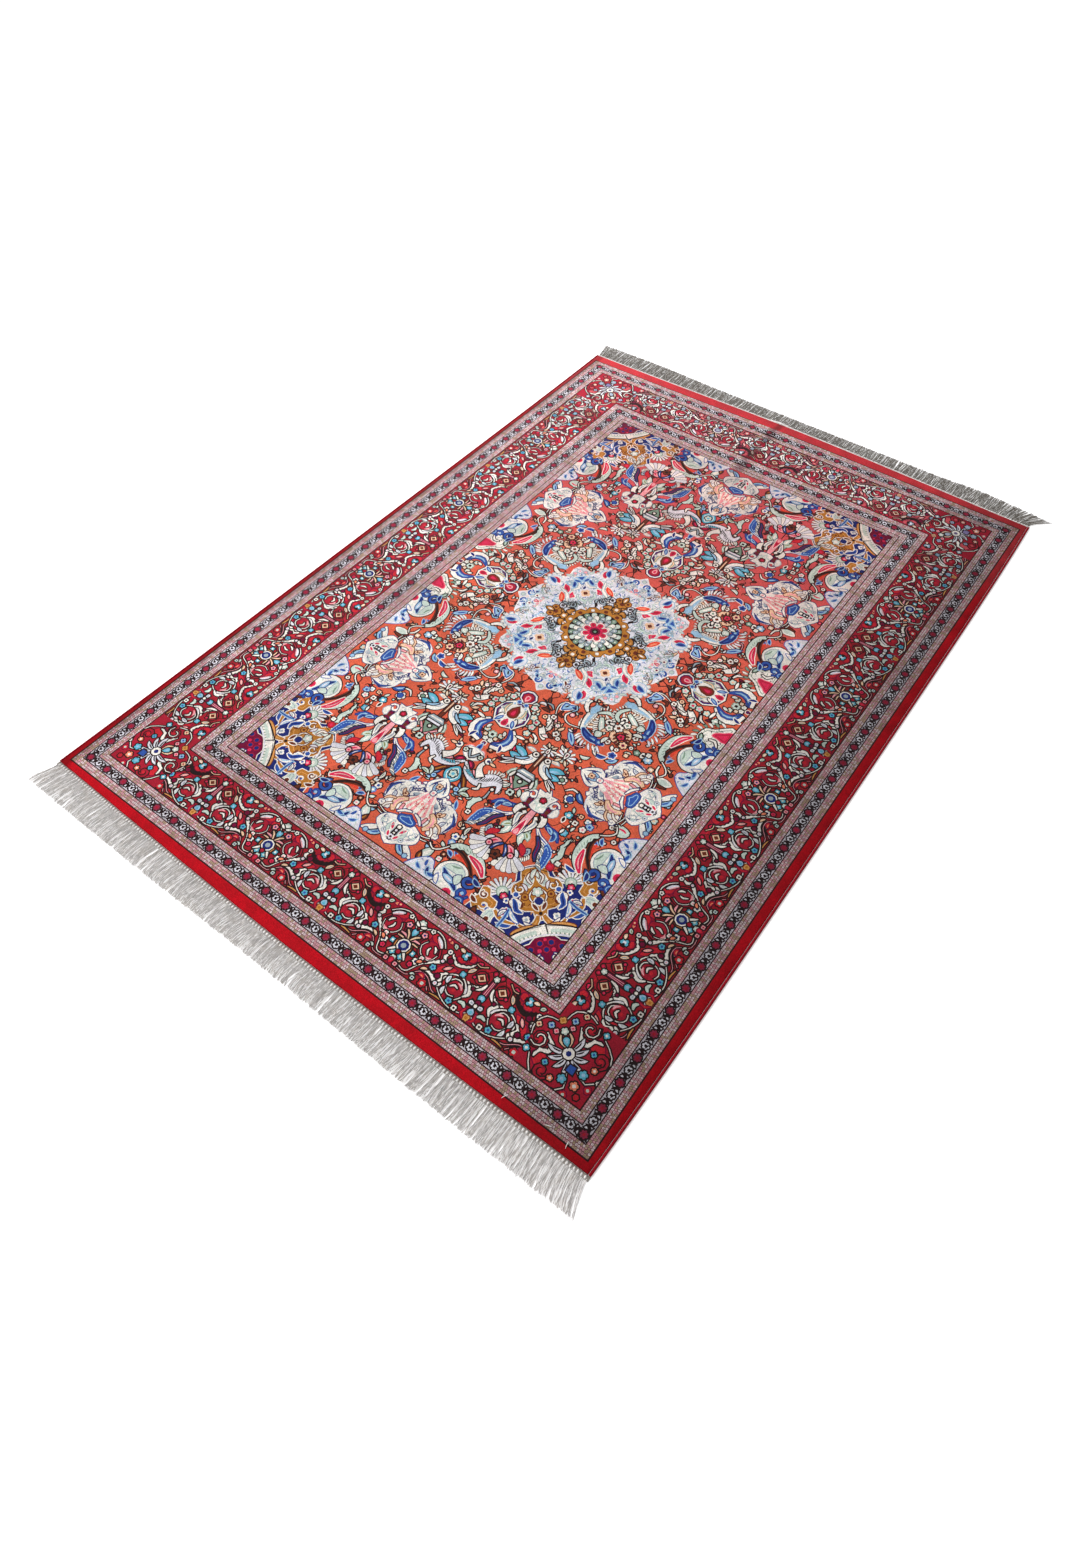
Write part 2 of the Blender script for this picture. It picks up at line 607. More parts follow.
DIAGONAL = """
*band beige .5 .9 .5 : -1.5 .5, .3 1.4, 1.6 .8; *leaf beige/brown/pink -.8 1 100 2 .7 .1
*barbs brown .9 .3 60 5 : -.4 .3, 1.2 .6, 2.6 .3; *bloom ivory//moss -1.6 1.5 .62 5
*bloom ivory//brown 1.2 2.3 .5 5; *leaf ivory//sage .4 2 60 1.6 .6 .1; marks maroon/-/brown 1.5 0 2.2 .6 20
bloom ivory//brown -1.3 0 .8 6; bloom rose//brown .6 0 .6 5; bloom beige//maroon 2.3 0 .7 6
*disc ivory//brown 3 1.2 .36
"""

# In the pendant's own frame: x outwards from the shield's middle
PENDANT = """
*band ivory .3 1.5 .5 : 2.6 2.4, 4.4 3.5, 6.4 3.2, 7.4 1.2
*band royal/navy/sky .3 1 .3 : 2.8 1.9, 4.4 2.9, 6 2.5, 6.8 1; *leaf ivory 3.2 3.2 100 1.7 .5 0
*leaf navy/ivory 6.2 2.4 20 1.5 .5 .1; *band ink/- .1 .14 .1 : 6.9 .8, 6.4 1.8, 5.4 2.2
*bloom sage//beige 4.7 1.4 .5 5; bloom sage/moss/ink 5.2 0 .72 6; *bloom ivory//sage 6.4 .5 .46 5
*leaf ivory//sage 3.6 1.3 20 1 .5 .1; *bloom beige//sage 5.7 1 .36 4; disc maroon/ivory/navy 7.4 0 .4
disc ivory 0 0 3.15; disc navy/ivory 0 0 2.9; disc maroon/- 0 0 2.65; disc ivory/grey 0 0 2.3
*leaf ivory .4 1.2 10 2 .5 .1; *leaf royal/ivory/sky .9 .9 28 1.9 .75 0; *marks grey/-/beige 0 1.6 .6 .4 5
*leaf grey/- -.6 1.5 60 .9 .4 0; drop rose/ivory/crimson 1 0 0 1.8 1.2
*leaf grey/ivory -.2 1.6 100 .8 .5 .1; *band beige/moss .1 .3 .1 : .6 .5, -.4 1.7, -1.9 1.5
drop brown/ivory/rose -2.3 0 0 3.2 2.2; drop red/-/rose -1.7 0 0 2.2 1.3; *disc sky/ivory -2.2 1.1 .24
drop pearl -3 0 180 3 3.2; drop navy/ivory -3.2 0 180 2.5 2.7; drop crimson/maroon -3.3 0 180 2.1 2
drop pink/-/rose -3.4 0 180 1.5 1; *bloom sage//pink -3.3 2.2 .6 5; *bloom sage//beige -1.6 3.3 .6 5
*disc royal/sky -2.9 .7 .3
"""

# In the cartouche's own frame: x inwards from the field's edge
CARTOUCHE = """
*band ivory/indigo .3 .9 .3 : 2.6 2.4, 1.7 3.6, .9 4.8; *leaf sky//royal 2.4 1.6 130 2.6 .8 .1
*disc sky/indigo .9 3.9 .4; *bloom ivory/indigo/pearl 11.1 2.6 1.4 6; *bloom ivory/indigo 6.3 4.8 1.1 5
*disc ivory/indigo 9 3.7 2.8; *bloom ivory/pearl 9 3.7 2.6 9
*band indigo/- .1 .6 .1 : 11 4.9, 9.4 6.2, 7.2 5.7; *band royal/- .05 .25 .05 : 10.6 5.4, 9.4 6, 8 5.9
*coil grey/- 9.9 4.3 .8 1.1 30 .18; *coil ivory/indigo 10.5 2.9 .8 1 200 .24
*band indigo/- .05 .34 .05 : 11.4 3.4, 10.2 2.7, 9.8 1.5; *leaf pearl/indigo/grey 8.9 5 195 1.3 .5 .1
*band indigo/- .05 .25 .05 : 12.2 1.8, 11.2 2.4, 10.7 3.6
patch ivory/indigo : 15.5 0, 14.2 1.4, 13 2, 12 1.5, 11 1.6, 10.6 0, 11 -1.6, 12 -1.5, 13 -2, 14.2 -1.4
*band indigo/- .06 .3 .06 : 14.8 .3, 13.8 1, 12.6 1.4; *leaf sky/indigo 12.3 .3 15 1.5 .5 0
bloom beige/brown/brown 13.5 0 .5 4; *leaf indigo/- 11.6 .7 70 1.4 .4 .1
*drop ivory/indigo/grey 11.6 .5 130 3 1.3; *drop ivory/indigo/pearl 10.4 1.3 150 3 1.3
fan pink/beige/ivory 12.2 0 180 4.9 11 62; marks rose/-/crimson 8.9 0 1.5 .5 16
fan ivory/pink/pink 12.4 0 180 2.6 5 60; marks rose/- 10.6 0 .6 .4 5; disc ivory/indigo/pink 12 0 .5
*marks indigo/-/grey 9 4.3 1.9 .6 15; *marks indigo/-/grey 11.1 2.6 1 .5 5
*marks grey/-/indigo 6.4 4.8 .8 .5 4; *marks indigo/-/sky 13 .8 .9 .45 5
*band beige/brown/pink .5 1 .5 : 8.9 2.4, 8.1 3.4, 7 3.6, 5.9 3; *disc beige/brown/brown 9.4 3.4 .42
*leaf beige/brown 9.3 3.7 20 .9 .4 0; *band pink/brown .3 .4 .2 : 7.8 2.3, 6.6 2.1, 6 1.4
*band ivory/brown .24 .3 .16 : 6.9 3.9, 6.2 4.6, 5.3 4.7
*band beige/brown .24 .3 .16 : 7.9 4, 7.6 5, 6.8 5.5; *band ivory .1 .12 .1 : 5.2 2.4, 5 3.8, 5.4 5
*band ivory .1 .12 .1 : 4.7 2.6, 4.5 3.9, 4.7 4.9
patch ivory/indigo/pearl .5 : .8 0, 1.8 1.6, 2.4 2.8, 3.4 3.9, 4.8 3.5, 5.6 2, 5.8 0, 5.6 -2, 4.8 -3.5,
    3.4 -3.9, 2.4 -2.8, 1.8 -1.6; *band indigo/- .06 .34 .06 : 4.9 3.2, 3.8 3.1, 3 2.2
*coil grey/- 4 2.5 .7 1 0 .2; *band sage/grey .2 .5 .2 : 2.2 .9, 3.2 1.5, 4.6 1.3
*disc pearl/grey/ink 2.5 1.7 .3; plot ink/grey : 2.2 .5, 4.4 .4, 4.4 -.4, 2.2 -.5; disc ivory 4.2 0 .34
disc pearl 3.5 0 .22; disc ivory/- 2.9 0 .22; bloom pearl//ink 2.2 0 .5 5
*leaf rose/ivory 3.3 .7 30 1.3 .45 0; *leaf rose/ivory 2 .5 30 1 .4 0
patch royal/indigo/sky .3 : 5.2 1.3, 6.1 1.5, 6.5 .6, 6.9 0, 6.5 -.6, 6.1 -1.5, 5.2 -1.3, 5 0
*marks grey/-/sage 3.8 2.3 1.3 .6 12; *band ivory/indigo .2 .4 .2 : 7.4 .3, 7 1.4, 6.2 2.3
"""

# In the group's own frame: x inwards from the field's edge
EDGE_GROUP = """
patch pearl/royal/sage .6 : -.6 -6.4, 1 -6.2, 2.2 -5.3, 3 -4.3, 2.8 -3.3, 1.8 -2.7, 1.6 -1.4, -.6 -1
marks sky/-/royal 1.2 -4.2 1.5 .5 14; leaf royal/- 2.6 -4.2 160 1.2 .5 .1
leaf navy/sky 1.7 -3.4 150 1.5 .5 .1; leaf royal/sky 1.3 -5.3 120 1.2 .4 .1; disc royal/sky 1.3 -1.9 .4
leaf royal/sky .8 -3 80 1.4 .5 .1
patch ivory//pearl .5 : 1.4 -2.2, 3 -2.4, 4.3 -1.5, 5 0, 4.6 1.6, 3.4 2.5, 1.6 2.7, -.6 2.6, -.6 -1.6,
    .6 -1.4; marks sage/-/pearl 2 0 2.2 .8 18
patch sage/grey/pearl .35 : 3.2 -1.6, 4.2 -.8, 4.5 .5, 3.8 1.7, 2.8 1.8, 3.2 .4
leaf moss/- 3.9 -.9 70 1.8 .3 .1; band navy/sky/royal .2 .9 .3 : 2.9 -1.5, 2.1 -.3, 1.7 1, .9 2.2
leaf sky/navy/pearl 2.1 -1 100 2.4 .9 0; patch sage/navy : 2.6 .6, 3.4 1.4, 2.4 1.9, 1.6 1.5
leaf ivory/royal 1.6 -1.6 150 1.6 .6 .1; coil royal//navy 3.2 2.9 1.25 1.2 0 .5
coil royal/navy/sky 1.2 3.3 1 1.1 90 .4; leaf navy/sky 4.1 3.2 110 1.5 .6 .1
patch royal/navy/sky .2 : -.6 2.8, .4 3, .6 4, -.6 4.4; disc rose/ivory/crimson -.1 1.3 .8
leaf royal/sky/navy 4.9 -1.9 -60 1.2 .5 .1; leaf royal/sky 5.5 -1.6 -30 1 .4 .1
band brick/- .3 .6 .2 : 5.6 -1.6, 5.6 0, 4.9 1.6; band ink/brown .2 .5 .2 : 6 -3, 6.4 -1.2, 5.6 .9, 4.2 2.6
band brown/- .1 .2 .1 : 6.1 -2.2, 6.1 -.7, 5.2 1.2
saw sage 1.1 .25 : 6.1 -3.4, 7.3 -1.9, 7.5 .6, 6.8 2.7, 5 4.4
barbs moss/- .7 .16 40 9 : 7 -2.4, 7.5 -.6, 7.3 1.4, 6.6 3
band rose/ivory/pink .3 1 .35 : 6.7 .2, 6.4 1.6, 5.9 2.9, 4.9 4
band crimson/- .08 .16 .08 : 6.5 .9, 6.2 2, 5.6 3.1; band ivory .14 .2 .14 : 6.2 -3.2, 5 -4, 4.4 -5, 5 -6
"""

# In the bouquet's own frame: x outwards along its axis
BOUQUET = """
*band royal/navy/sky .2 .8 .3 : -.7 6.2, -1.8 5.1, -1.9 3.7, -2.6 2.4
*leaf royal/sky/navy -1.7 4.6 20 1.6 .6 .2; *leaf sky/navy/royal -2 3.3 60 1.6 .7 .1
*band ivory/navy/royal .2 .6 .3 : 1 6.4, .4 4.8, 0 3.4, -1 2.3; *leaf navy/sky .6 5.6 -10 1.4 .5 .1
*patch royal/sky/sky .3 : .4 5.2, 1.4 6.6, 2.6 6.9, 4.2 7, 4.4 6.1, 3.2 5.6, 1.8 5
*barbs royal/- .9 .24 100 6 : 1.2 5.8, 2.6 6, 4 6.2
*barbs ivory//grey 1.3 .32 35 12 : .6 3.9, 2 4.7, 3.4 5.1, 4.6 6.1
*band indigo//maroon .3 .6 .2 : .2 3.2, 1.4 4.3, 2.9 4.7, 3.9 5.4
*patch grey//indigo .3 : 2.6 3.7, 3.6 4.1, 4.2 3.4, 3.2 3
*barbs ivory .9 .26 60 7 : 3.4 4.1, 4.4 3.6, 4.9 3
*band sage//ivory .5 1.1 .3 : -.6 1.3, .8 1.5, 2 1.3, 3.1 2; *leaf sage/moss/olive .6 1.1 50 1.8 .8 .1
*patch scarlet/maroon/rose .3 : 2.7 2, 3.4 2.2, 4.3 3.3, 3.6 3.4, 3 3
*band pink//rose .4 1 .4 : 4.1 .6, 4.4 1.5, 5.2 2, 6.2 2.3; *band pearl//sage .2 .5 .2 : 4 2, 4.5 2.6, 5.3 3
*fan ivory//pearl 4.8 1.8 24 3.5 6 84; *disc pink//rose 5.3 2 .45
*band royal//ivory .2 .4 .2 : 4.2 .2, 5 .9, 6 1.2; band ink/- .2 .2 .2 : 2.2 0, 4.4 0
bloom brown//ink 6.4 0 .8 5; *leaf ink/- 6.6 .3 60 .9 .3 0
*band ivory .5 .9 .3 : -3.6 1, -2.8 2.2, -1.6 2.4, -1.2 1.7
*band ivory//grey .4 .8 .3 : -2.4 .9, -1.4 1.5, -.3 1.3, .8 .9
*band ink/- .1 .3 .1 : -3 1, -2.2 1.6, -1.8 1.2; *disc ink/- -1.9 1.7 .3
*band ivory/indigo .2 .3 .2 : -.4 .6, .8 .7, 1.8 .5; band pink .7 1.1 .9 : -3.8 0, -1 0, 1.2 0
drop rose/ivory/crimson -1.4 0 0 3.3 1; drop pink/rose .7 0 0 1.2 .8; *bloom maroon//brown -4 1.7 .85 7
*band ivory/grey .6 1 .4 : -5.4 2.6, -4.5 2.9, -3.7 2.4; *coil ivory/indigo/coral -5.6 2 .9 1 100 .42
patch ivory/indigo/pearl .5 : -7.8 0, -6.9 .6, -7 1.7, -5.9 1.3, -5 1.1, -3.6 1.3, -3.2 0, -3.6 -1.3,
    -5 -1.1, -5.9 -1.3, -7 -1.7, -6.9 -.6; marks grey/-/sage -5.4 0 1.5 .5 14
drop sage/-/ivory -3.2 0 180 2.2 1; bloom crimson//rose -5.5 0 .5 5; *leaf sage/- -4.4 .3 110 1 .4 0
"""
TREE = """
*leaf turquoise//sky 30 2 118 3.2 1.2 .1; *leaf turquoise//sky 30.3 2.3 96 2.6 1.1 0
*leaf sky//turquoise 30.6 2.4 74 2.4 .9 -.1; *leaf ivory//ink 30.9 2.7 52 2.9 .5 0
*leaf pearl//ink 30.7 3 64 2.4 .4 0; *band ivory .9 1.5 .5 : 27.7 1.1, 29.2 1.3, 30.3 2.1, 31 3.1
*leaf ivory/grey/beige 27.8 1.4 96 1.7 .6 .1; *leaf pearl/grey/grey 29 1.2 50 1.6 .6 0
*disc ivory//ink 28 1.15 .5; *band sky .1 .4 .1 : 29.2 1.8, 30 2.6, 30.4 3.6
band brown//beige .55 .6 .5 : 25.4 0, 28.5 0, 31.7 0; *drop sage/moss/moss 32 2 10 1.8 1
*band ivory .2 .45 .2 : 32.4 1.6, 33.6 2, 34.6 1.6
plot grey : 31.5 1.1, 32.2 1.6, 33.4 1.35, 33.4 -1.35, 32.2 -1.6, 31.5 -1.1
plot ivory/- : 31.8 1.1, 32.1 1.3, 32.1 -1.3, 31.8 -1.1; plot pearl : 32.6 1.3, 33 1.3, 33 -1.3, 32.6 -1.3
plot moss : 33.3 1.3, 35.8 0, 33.3 -1.3; disc ink/-/ivory 33.8 0 .55
*band pink .3 .3 .3 : 33.9 1.7, 34.9 .8, 35.9 .05; *leaf sage 35 .9 30 1.4 .6 0
bloom sage//ink 36.3 0 .66 4
"""
CRANE = """
band brown//gold .4 .6 .3 : 2 38, 2.9 39, 3.6 40, 4.6 40.6; leaf sage//moss 4.4 39.6 100 2 .7 .2
leaf sage//olive 5.4 40.9 170 1.7 .6 .1
patch pearl//sage .4 : 1.1 36.6, 2.2 37.2, 3.6 37.3, 4.6 36.4, 5.4 35.4, 6.8 35, 8 35.7, 8.5 37.2,
    8.2 37.9, 7.6 36.7, 6.7 37.3, 5.9 38.2, 4.4 38.6, 2.9 38.3, 1.5 37.4
barbs ink/- 1.3 .2 -50 11 : 4.3 37.9, 5.6 37.2, 6.8 36.2, 7.9 36
barbs ivory .9 .3 -75 9 : 4.9 35.9, 6 35.1, 7.2 35, 8.2 35.9
barbs turquoise .9 .26 -60 6 : 1.4 37.1, 2.6 37.6, 4 37.8; band pink .2 .4 .2 : 2.7 36.4, 3.7 37.1, 4.6 36.7
band ivory .55 .8 1.3 : 3.4 33.9, 3.1 35, 3.5 36, 4.4 36.9; disc ivory//indigo 3.6 33.7 .6
leaf beige 4 33.8 6 1.1 .45 0; leaf ink/- 3.2 33.3 -140 .8 .25 0; leaf beige 3.9 33.2 -80 .7 .3 0
band ivory .2 .4 .2 : 5.2 37.9, 5.5 38.8, 4.8 39.3; disc ink/-/ivory 7.4 37.6 .55
band grey .2 .3 .2 : 7.3 38.1, 7.4 39.4, 6.9 40.5; saw sage .95 .2 : 7.3 40, 6.6 40.8, 6.5 42, 7.1 42.8
bloom ivory//ink 7 43 .45 4
"""
# Round the end cartouche's tip, from the pendant outwards
END_PALMETTE = """
drop royal/sky/navy 31.4 0 0 1.6 .8; *drop ivory/pink/pink 34.4 .2 145 2 1
patch ivory/grey/pearl .3 : 32.8 .6, 33.4 1.8, 34.6 1.4, 35.3 0, 34.6 -1.4, 33.4 -1.8, 32.8 -.6
*band grey .2 .3 .1 : 33.4 .9, 34.2 .5, 34.8 0; *bloom sage//brown 33.9 1.5 .42 5
*leaf maroon//rose 35.4 .4 50 1.7 .7 .1; *band pearl//sky .3 .6 .2 : 35.8 .1, 36.8 1.1, 37.8 2.2
*barbs ivory .8 .24 -60 6 : 36 .5, 37 1.5, 37.9 2.4; *leaf rose 37.3 .2 20 .9 .5 0
patch turquoise//ivory .35 : 37.2 0, 38 .9, 39 1.4, 40 1, 41 .1, 40 -1, 39 -1.4, 38 -.9
bloom sage//turquoise 38.9 0 .7 5; *leaf ivory//sage 38 1.2 30 1.8 .6 .1
*leaf royal//sky 39.4 2 30 1.8 .6 0; *disc sky//royal 40.9 2.3 .45; drop sage//ivory 41.1 0 0 1.6 .8
*bloom beige//brown 43.3 .6 .6 5; *band ivory/indigo/sky .3 .5 .2 : 44.6 0, 43.7 1.1, 42.6 1.9
*leaf ivory/indigo 42.8 1.4 80 1.2 .5 .1
"""
OUTER_GROUND = """
band ink/- .1 .14 .1 : 14.2 29.5, 16 30.6, 17.4 31.6, 18.6 31.9
band ink/- .1 .14 .1 : 19.6 36, 18.8 37.4, 17.2 37; band ink/- .1 .14 .1 : 23.9 35, 22 36.2, 19.2 36.2
band ink/- .1 .14 .1 : 6.1 43, 6.6 44.2, 8.8 44.8, 10.4 44.8
band ink/- .1 .14 .1 : 6.9 47, 6 49.8, 8.3 50, 8.6 51.6; band ink/- .1 .14 .1 : 20.6 44.7, 23 44.2, 23.8 43
band ink/- .12 .16 .12 : 3.6 31.8, 5 32, 6 31.7, 6.2 32.6; bloom brown//beige 2.4 31.7 .5 4
bloom sage//beige 3.1 30.9 .55 5; leaf rose 4.9 28.7 60 1 .4 0
band ink/- .1 .3 .1 : 5.9 26.8, 6.2 27.6, 6.8 28.1; bloom brown//beige 5.9 26.9 .45 4
bloom ivory//sage 15 29.6 .85 6; disc moss 15 29.6 .36; bloom ivory//royal 18 31.8 .85 5
disc royal/navy 18.1 31.8 .5; leaf royal//sky 18.4 29.8 40 2.4 .9 .1
band ivory .1 .3 .2 : 16.6 30.9, 17.4 30, 18.4 30.1; bloom turquoise//ivory 19.7 34.3 .65 5
leaf sage 19.6 32.7 60 1 .4 0; leaf ink/ivory 19.4 34.9 80 1 .5 0
band ink/- .1 .12 .1 : 20.4 33.6, 21 35, 22.3 34.8; bloom ivory//brown 21.3 34.9 .5 4
bloom ivory//sky 22.8 33.6 .5 4; bloom sky/navy/royal 23.5 34.2 .6 5; bloom ivory//pink 22.9 35.2 .55 5
bloom beige//brown 21.4 33.4 .4 4; bloom turquoise//sky 21 37.3 .6 5; leaf ivory 20.6 36.7 100 1 .4 0
leaf sage//ivory 21.8 35.6 100 .9 .4 .1; saw sage .8 .2 : 22.7 37.6, 22.5 39.4, 23 41, 22.6 42.2, 23.3 42.6
band ink/- .1 .3 .1 : 22.6 37.6, 22.8 38.6, 22.5 39.4; bloom ivory//sage 23.4 42.2 .45 4
disc scarlet/maroon/rose 22.8 43.3 .6; leaf royal/ivory/navy 24.4 41.6 5 1.9 .6 .1
bloom ivory//sky 9.4 46.9 .5 4; leaf ivory//moss 9.3 45 90 1.6 .5 .1; bloom ivory//royal 8.4 47.6 .62 5
bloom sky/royal/ivory 8.6 48.7 .5 5; bloom beige//brown 9.6 47.8 .4 4; leaf beige//brown 7.4 45 60 1 .5 .1
leaf sage//ivory 7.4 49.4 30 1 .5 .1; band ink/- .2 .5 .2 : 5.3 51, 6.3 50.7, 6.9 51.3
leaf sky 5.8 51.2 20 1.2 .5 .1
patch sage//ivory .35 : 6.6 51.4, 7.3 51, 7.5 52.2, 7 53.2, 6.3 53.7, 5.9 52.6
leaf brown//gold 6 52.6 65 1.6 .7 .1; bloom ivory//pink 8.9 52 .45 4; bloom brown//beige 9 51 .4 4
leaf ivory//sky 4.3 43.3 55 2.3 .6 0; leaf royal/sky 4.4 42.5 60 1.6 .4 0; bloom sky//royal 3.4 41.2 .6 5
band sage .15 .2 .15 : 4.4 40.6, 5.4 41.2, 5.9 40.6; leaf ivory//beige 1.9 42.3 50 1.2 .5 0
bloom brown//sage 2 41 .5 4; bloom sage//rose 13.2 44.4 .4 4
patch sage : 26.4 31.4, 27.6 31, 28.9 31.4, 28.9 32.4, 27.8 33, 26.6 32.6
band rose/- .2 .34 .2 : 27.2 31.7, 27.9 31.6, 28.5 31.8; disc coral 26.7 33.5 1
disc ivory//brown 27.9 34.2 .4; disc ivory//brown 26.2 32.2 .4
band ivory .1 .12 .1 : 26 29, 26.4 30.6, 26.6 32; bloom ivory//sky 30.9 29.2 .5 4
bloom sage//beige 30.6 27.4 .6 5; leaf royal/ivory/navy 16 22 -10 2 .8 .2
leaf sky//royal 18.2 22.4 -40 2 .8 .1; bloom royal/ivory/navy 18.5 20.9 .7 5
leaf ivory 17.9 20.1 -120 1 .5 0; leaf ivory//navy 15.4 20.8 60 2 .5 .1; bloom ivory//ink 22.5 18 .6 5
bloom sky//ivory 23.6 18.3 .75 6; bloom ivory//sage 23.2 17.4 .45 4; bloom moss//sage 21.4 18.1 .55 5
leaf sage//beige 20.8 18.9 160 1.1 .4 .1; bloom beige//sage 20.3 19.6 .4 4; bloom beige//ivory 25 19.6 .5 4
band ivory .2 .3 .2 : 25.7 18.2, 25.9 19.4, 26.8 20.2
patch ivory/brown/sage .3 : 26.8 20, 28 19.7, 29.4 20.2, 28.8 21, 27.6 21.4, 26.8 21
band brown .2 .5 .1 : 26.4 20.6, 27.4 21.5, 28.8 21.3; band beige .1 .2 .1 : 26.6 17.9, 27.6 18.1, 28.2 18.9
disc brown 28.1 18.6 .3; bloom moss//sage 29.6 18.6 .55 5; bloom ivory//beige 30.5 19 .5 5
bloom beige//sage 31 17.6 .6 5; bloom sky//ivory 30.7 23.7 .6 5; bloom sage//ivory 28.2 5 .7 5
bloom sage//moss 29 4.4 .5 5; leaf ink/-/grey 24.9 4.2 60 2.6 .5 .05; leaf ivory//grey 25.4 5.4 60 1.5 .4 0
patch ivory//moss .4 : 31.8 4.6, 30.2 5.2, 29 6.4, 27.6 7, 27.2 8.6, 27.4 9.6, 28.4 9.8, 29.4 10.4,
    31.8 10.6; marks ink/-/moss 29.8 7.6 2.2 .6 22
barbs ivory//moss 1.2 .5 60 7 : 30.6 4.8, 28.6 6.2, 27.2 7.6, 27.2 9.4
patch rose/pink/crimson .3 : 31.8 5.4, 30.6 6.2, 29.4 7, 29.2 7.8, 30.2 7.9, 31.8 8
band ivory .2 .4 .2 : 29.2 8.8, 30.2 8.6, 31 9.6; leaf moss//sage 27.6 8.4 70 1.4 .6 0
leaf ink/-/ivory 24.6 10.5 -10 1.6 .6 .1; bloom ivory//ink 28.6 11 .6 5; bloom ivory//brown 30.3 11.4 .6 5
bloom ivory//beige 27.6 12.4 .5 4; leaf scarlet/brown 29.6 10.6 60 1.3 .4 0
band ink/- .1 .12 .1 : 23.8 10.2, 26 9.9, 27.4 10.4, 29 10.2; bloom beige//sage 31 2 .6 5
bloom beige//amber 30.4 .9 .5 5; leaf sage//beige 18.6 2.2 80 2 .6 .1
leaf ivory//sage 18.8 3.6 60 1.3 .4 .1; bloom ivory//rose 18.9 13.7 .6 5; bloom maroon//beige 18.8 15.7 .5 4
bloom ivory//brown 19.5 14.6 .4 4; leaf beige//ivory 30.2 41 -20 1.6 .6 .1; disc rose//pink 31.4 25.9 .3
leaf ivory//moss 11 24 20 1.4 .5 .2; leaf sage//ivory 14.4 23.9 -20 1.6 .6 .2; bloom sage//beige 7 26 .5 5
leaf beige 5.9 25.8 30 1.4 .5 .1
"""
SMALL_PALMETTES = """
fan ivory//pearl 0 0 0 1.75 7 200; drop beige//sage -.1 0 180 1.2 .9; drop ivory//maroon -.5 0 0 1.5 .7
*disc ivory -.9 .8 .34; *leaf beige//sage -.6 .3 140 1.2 .4 0
"""

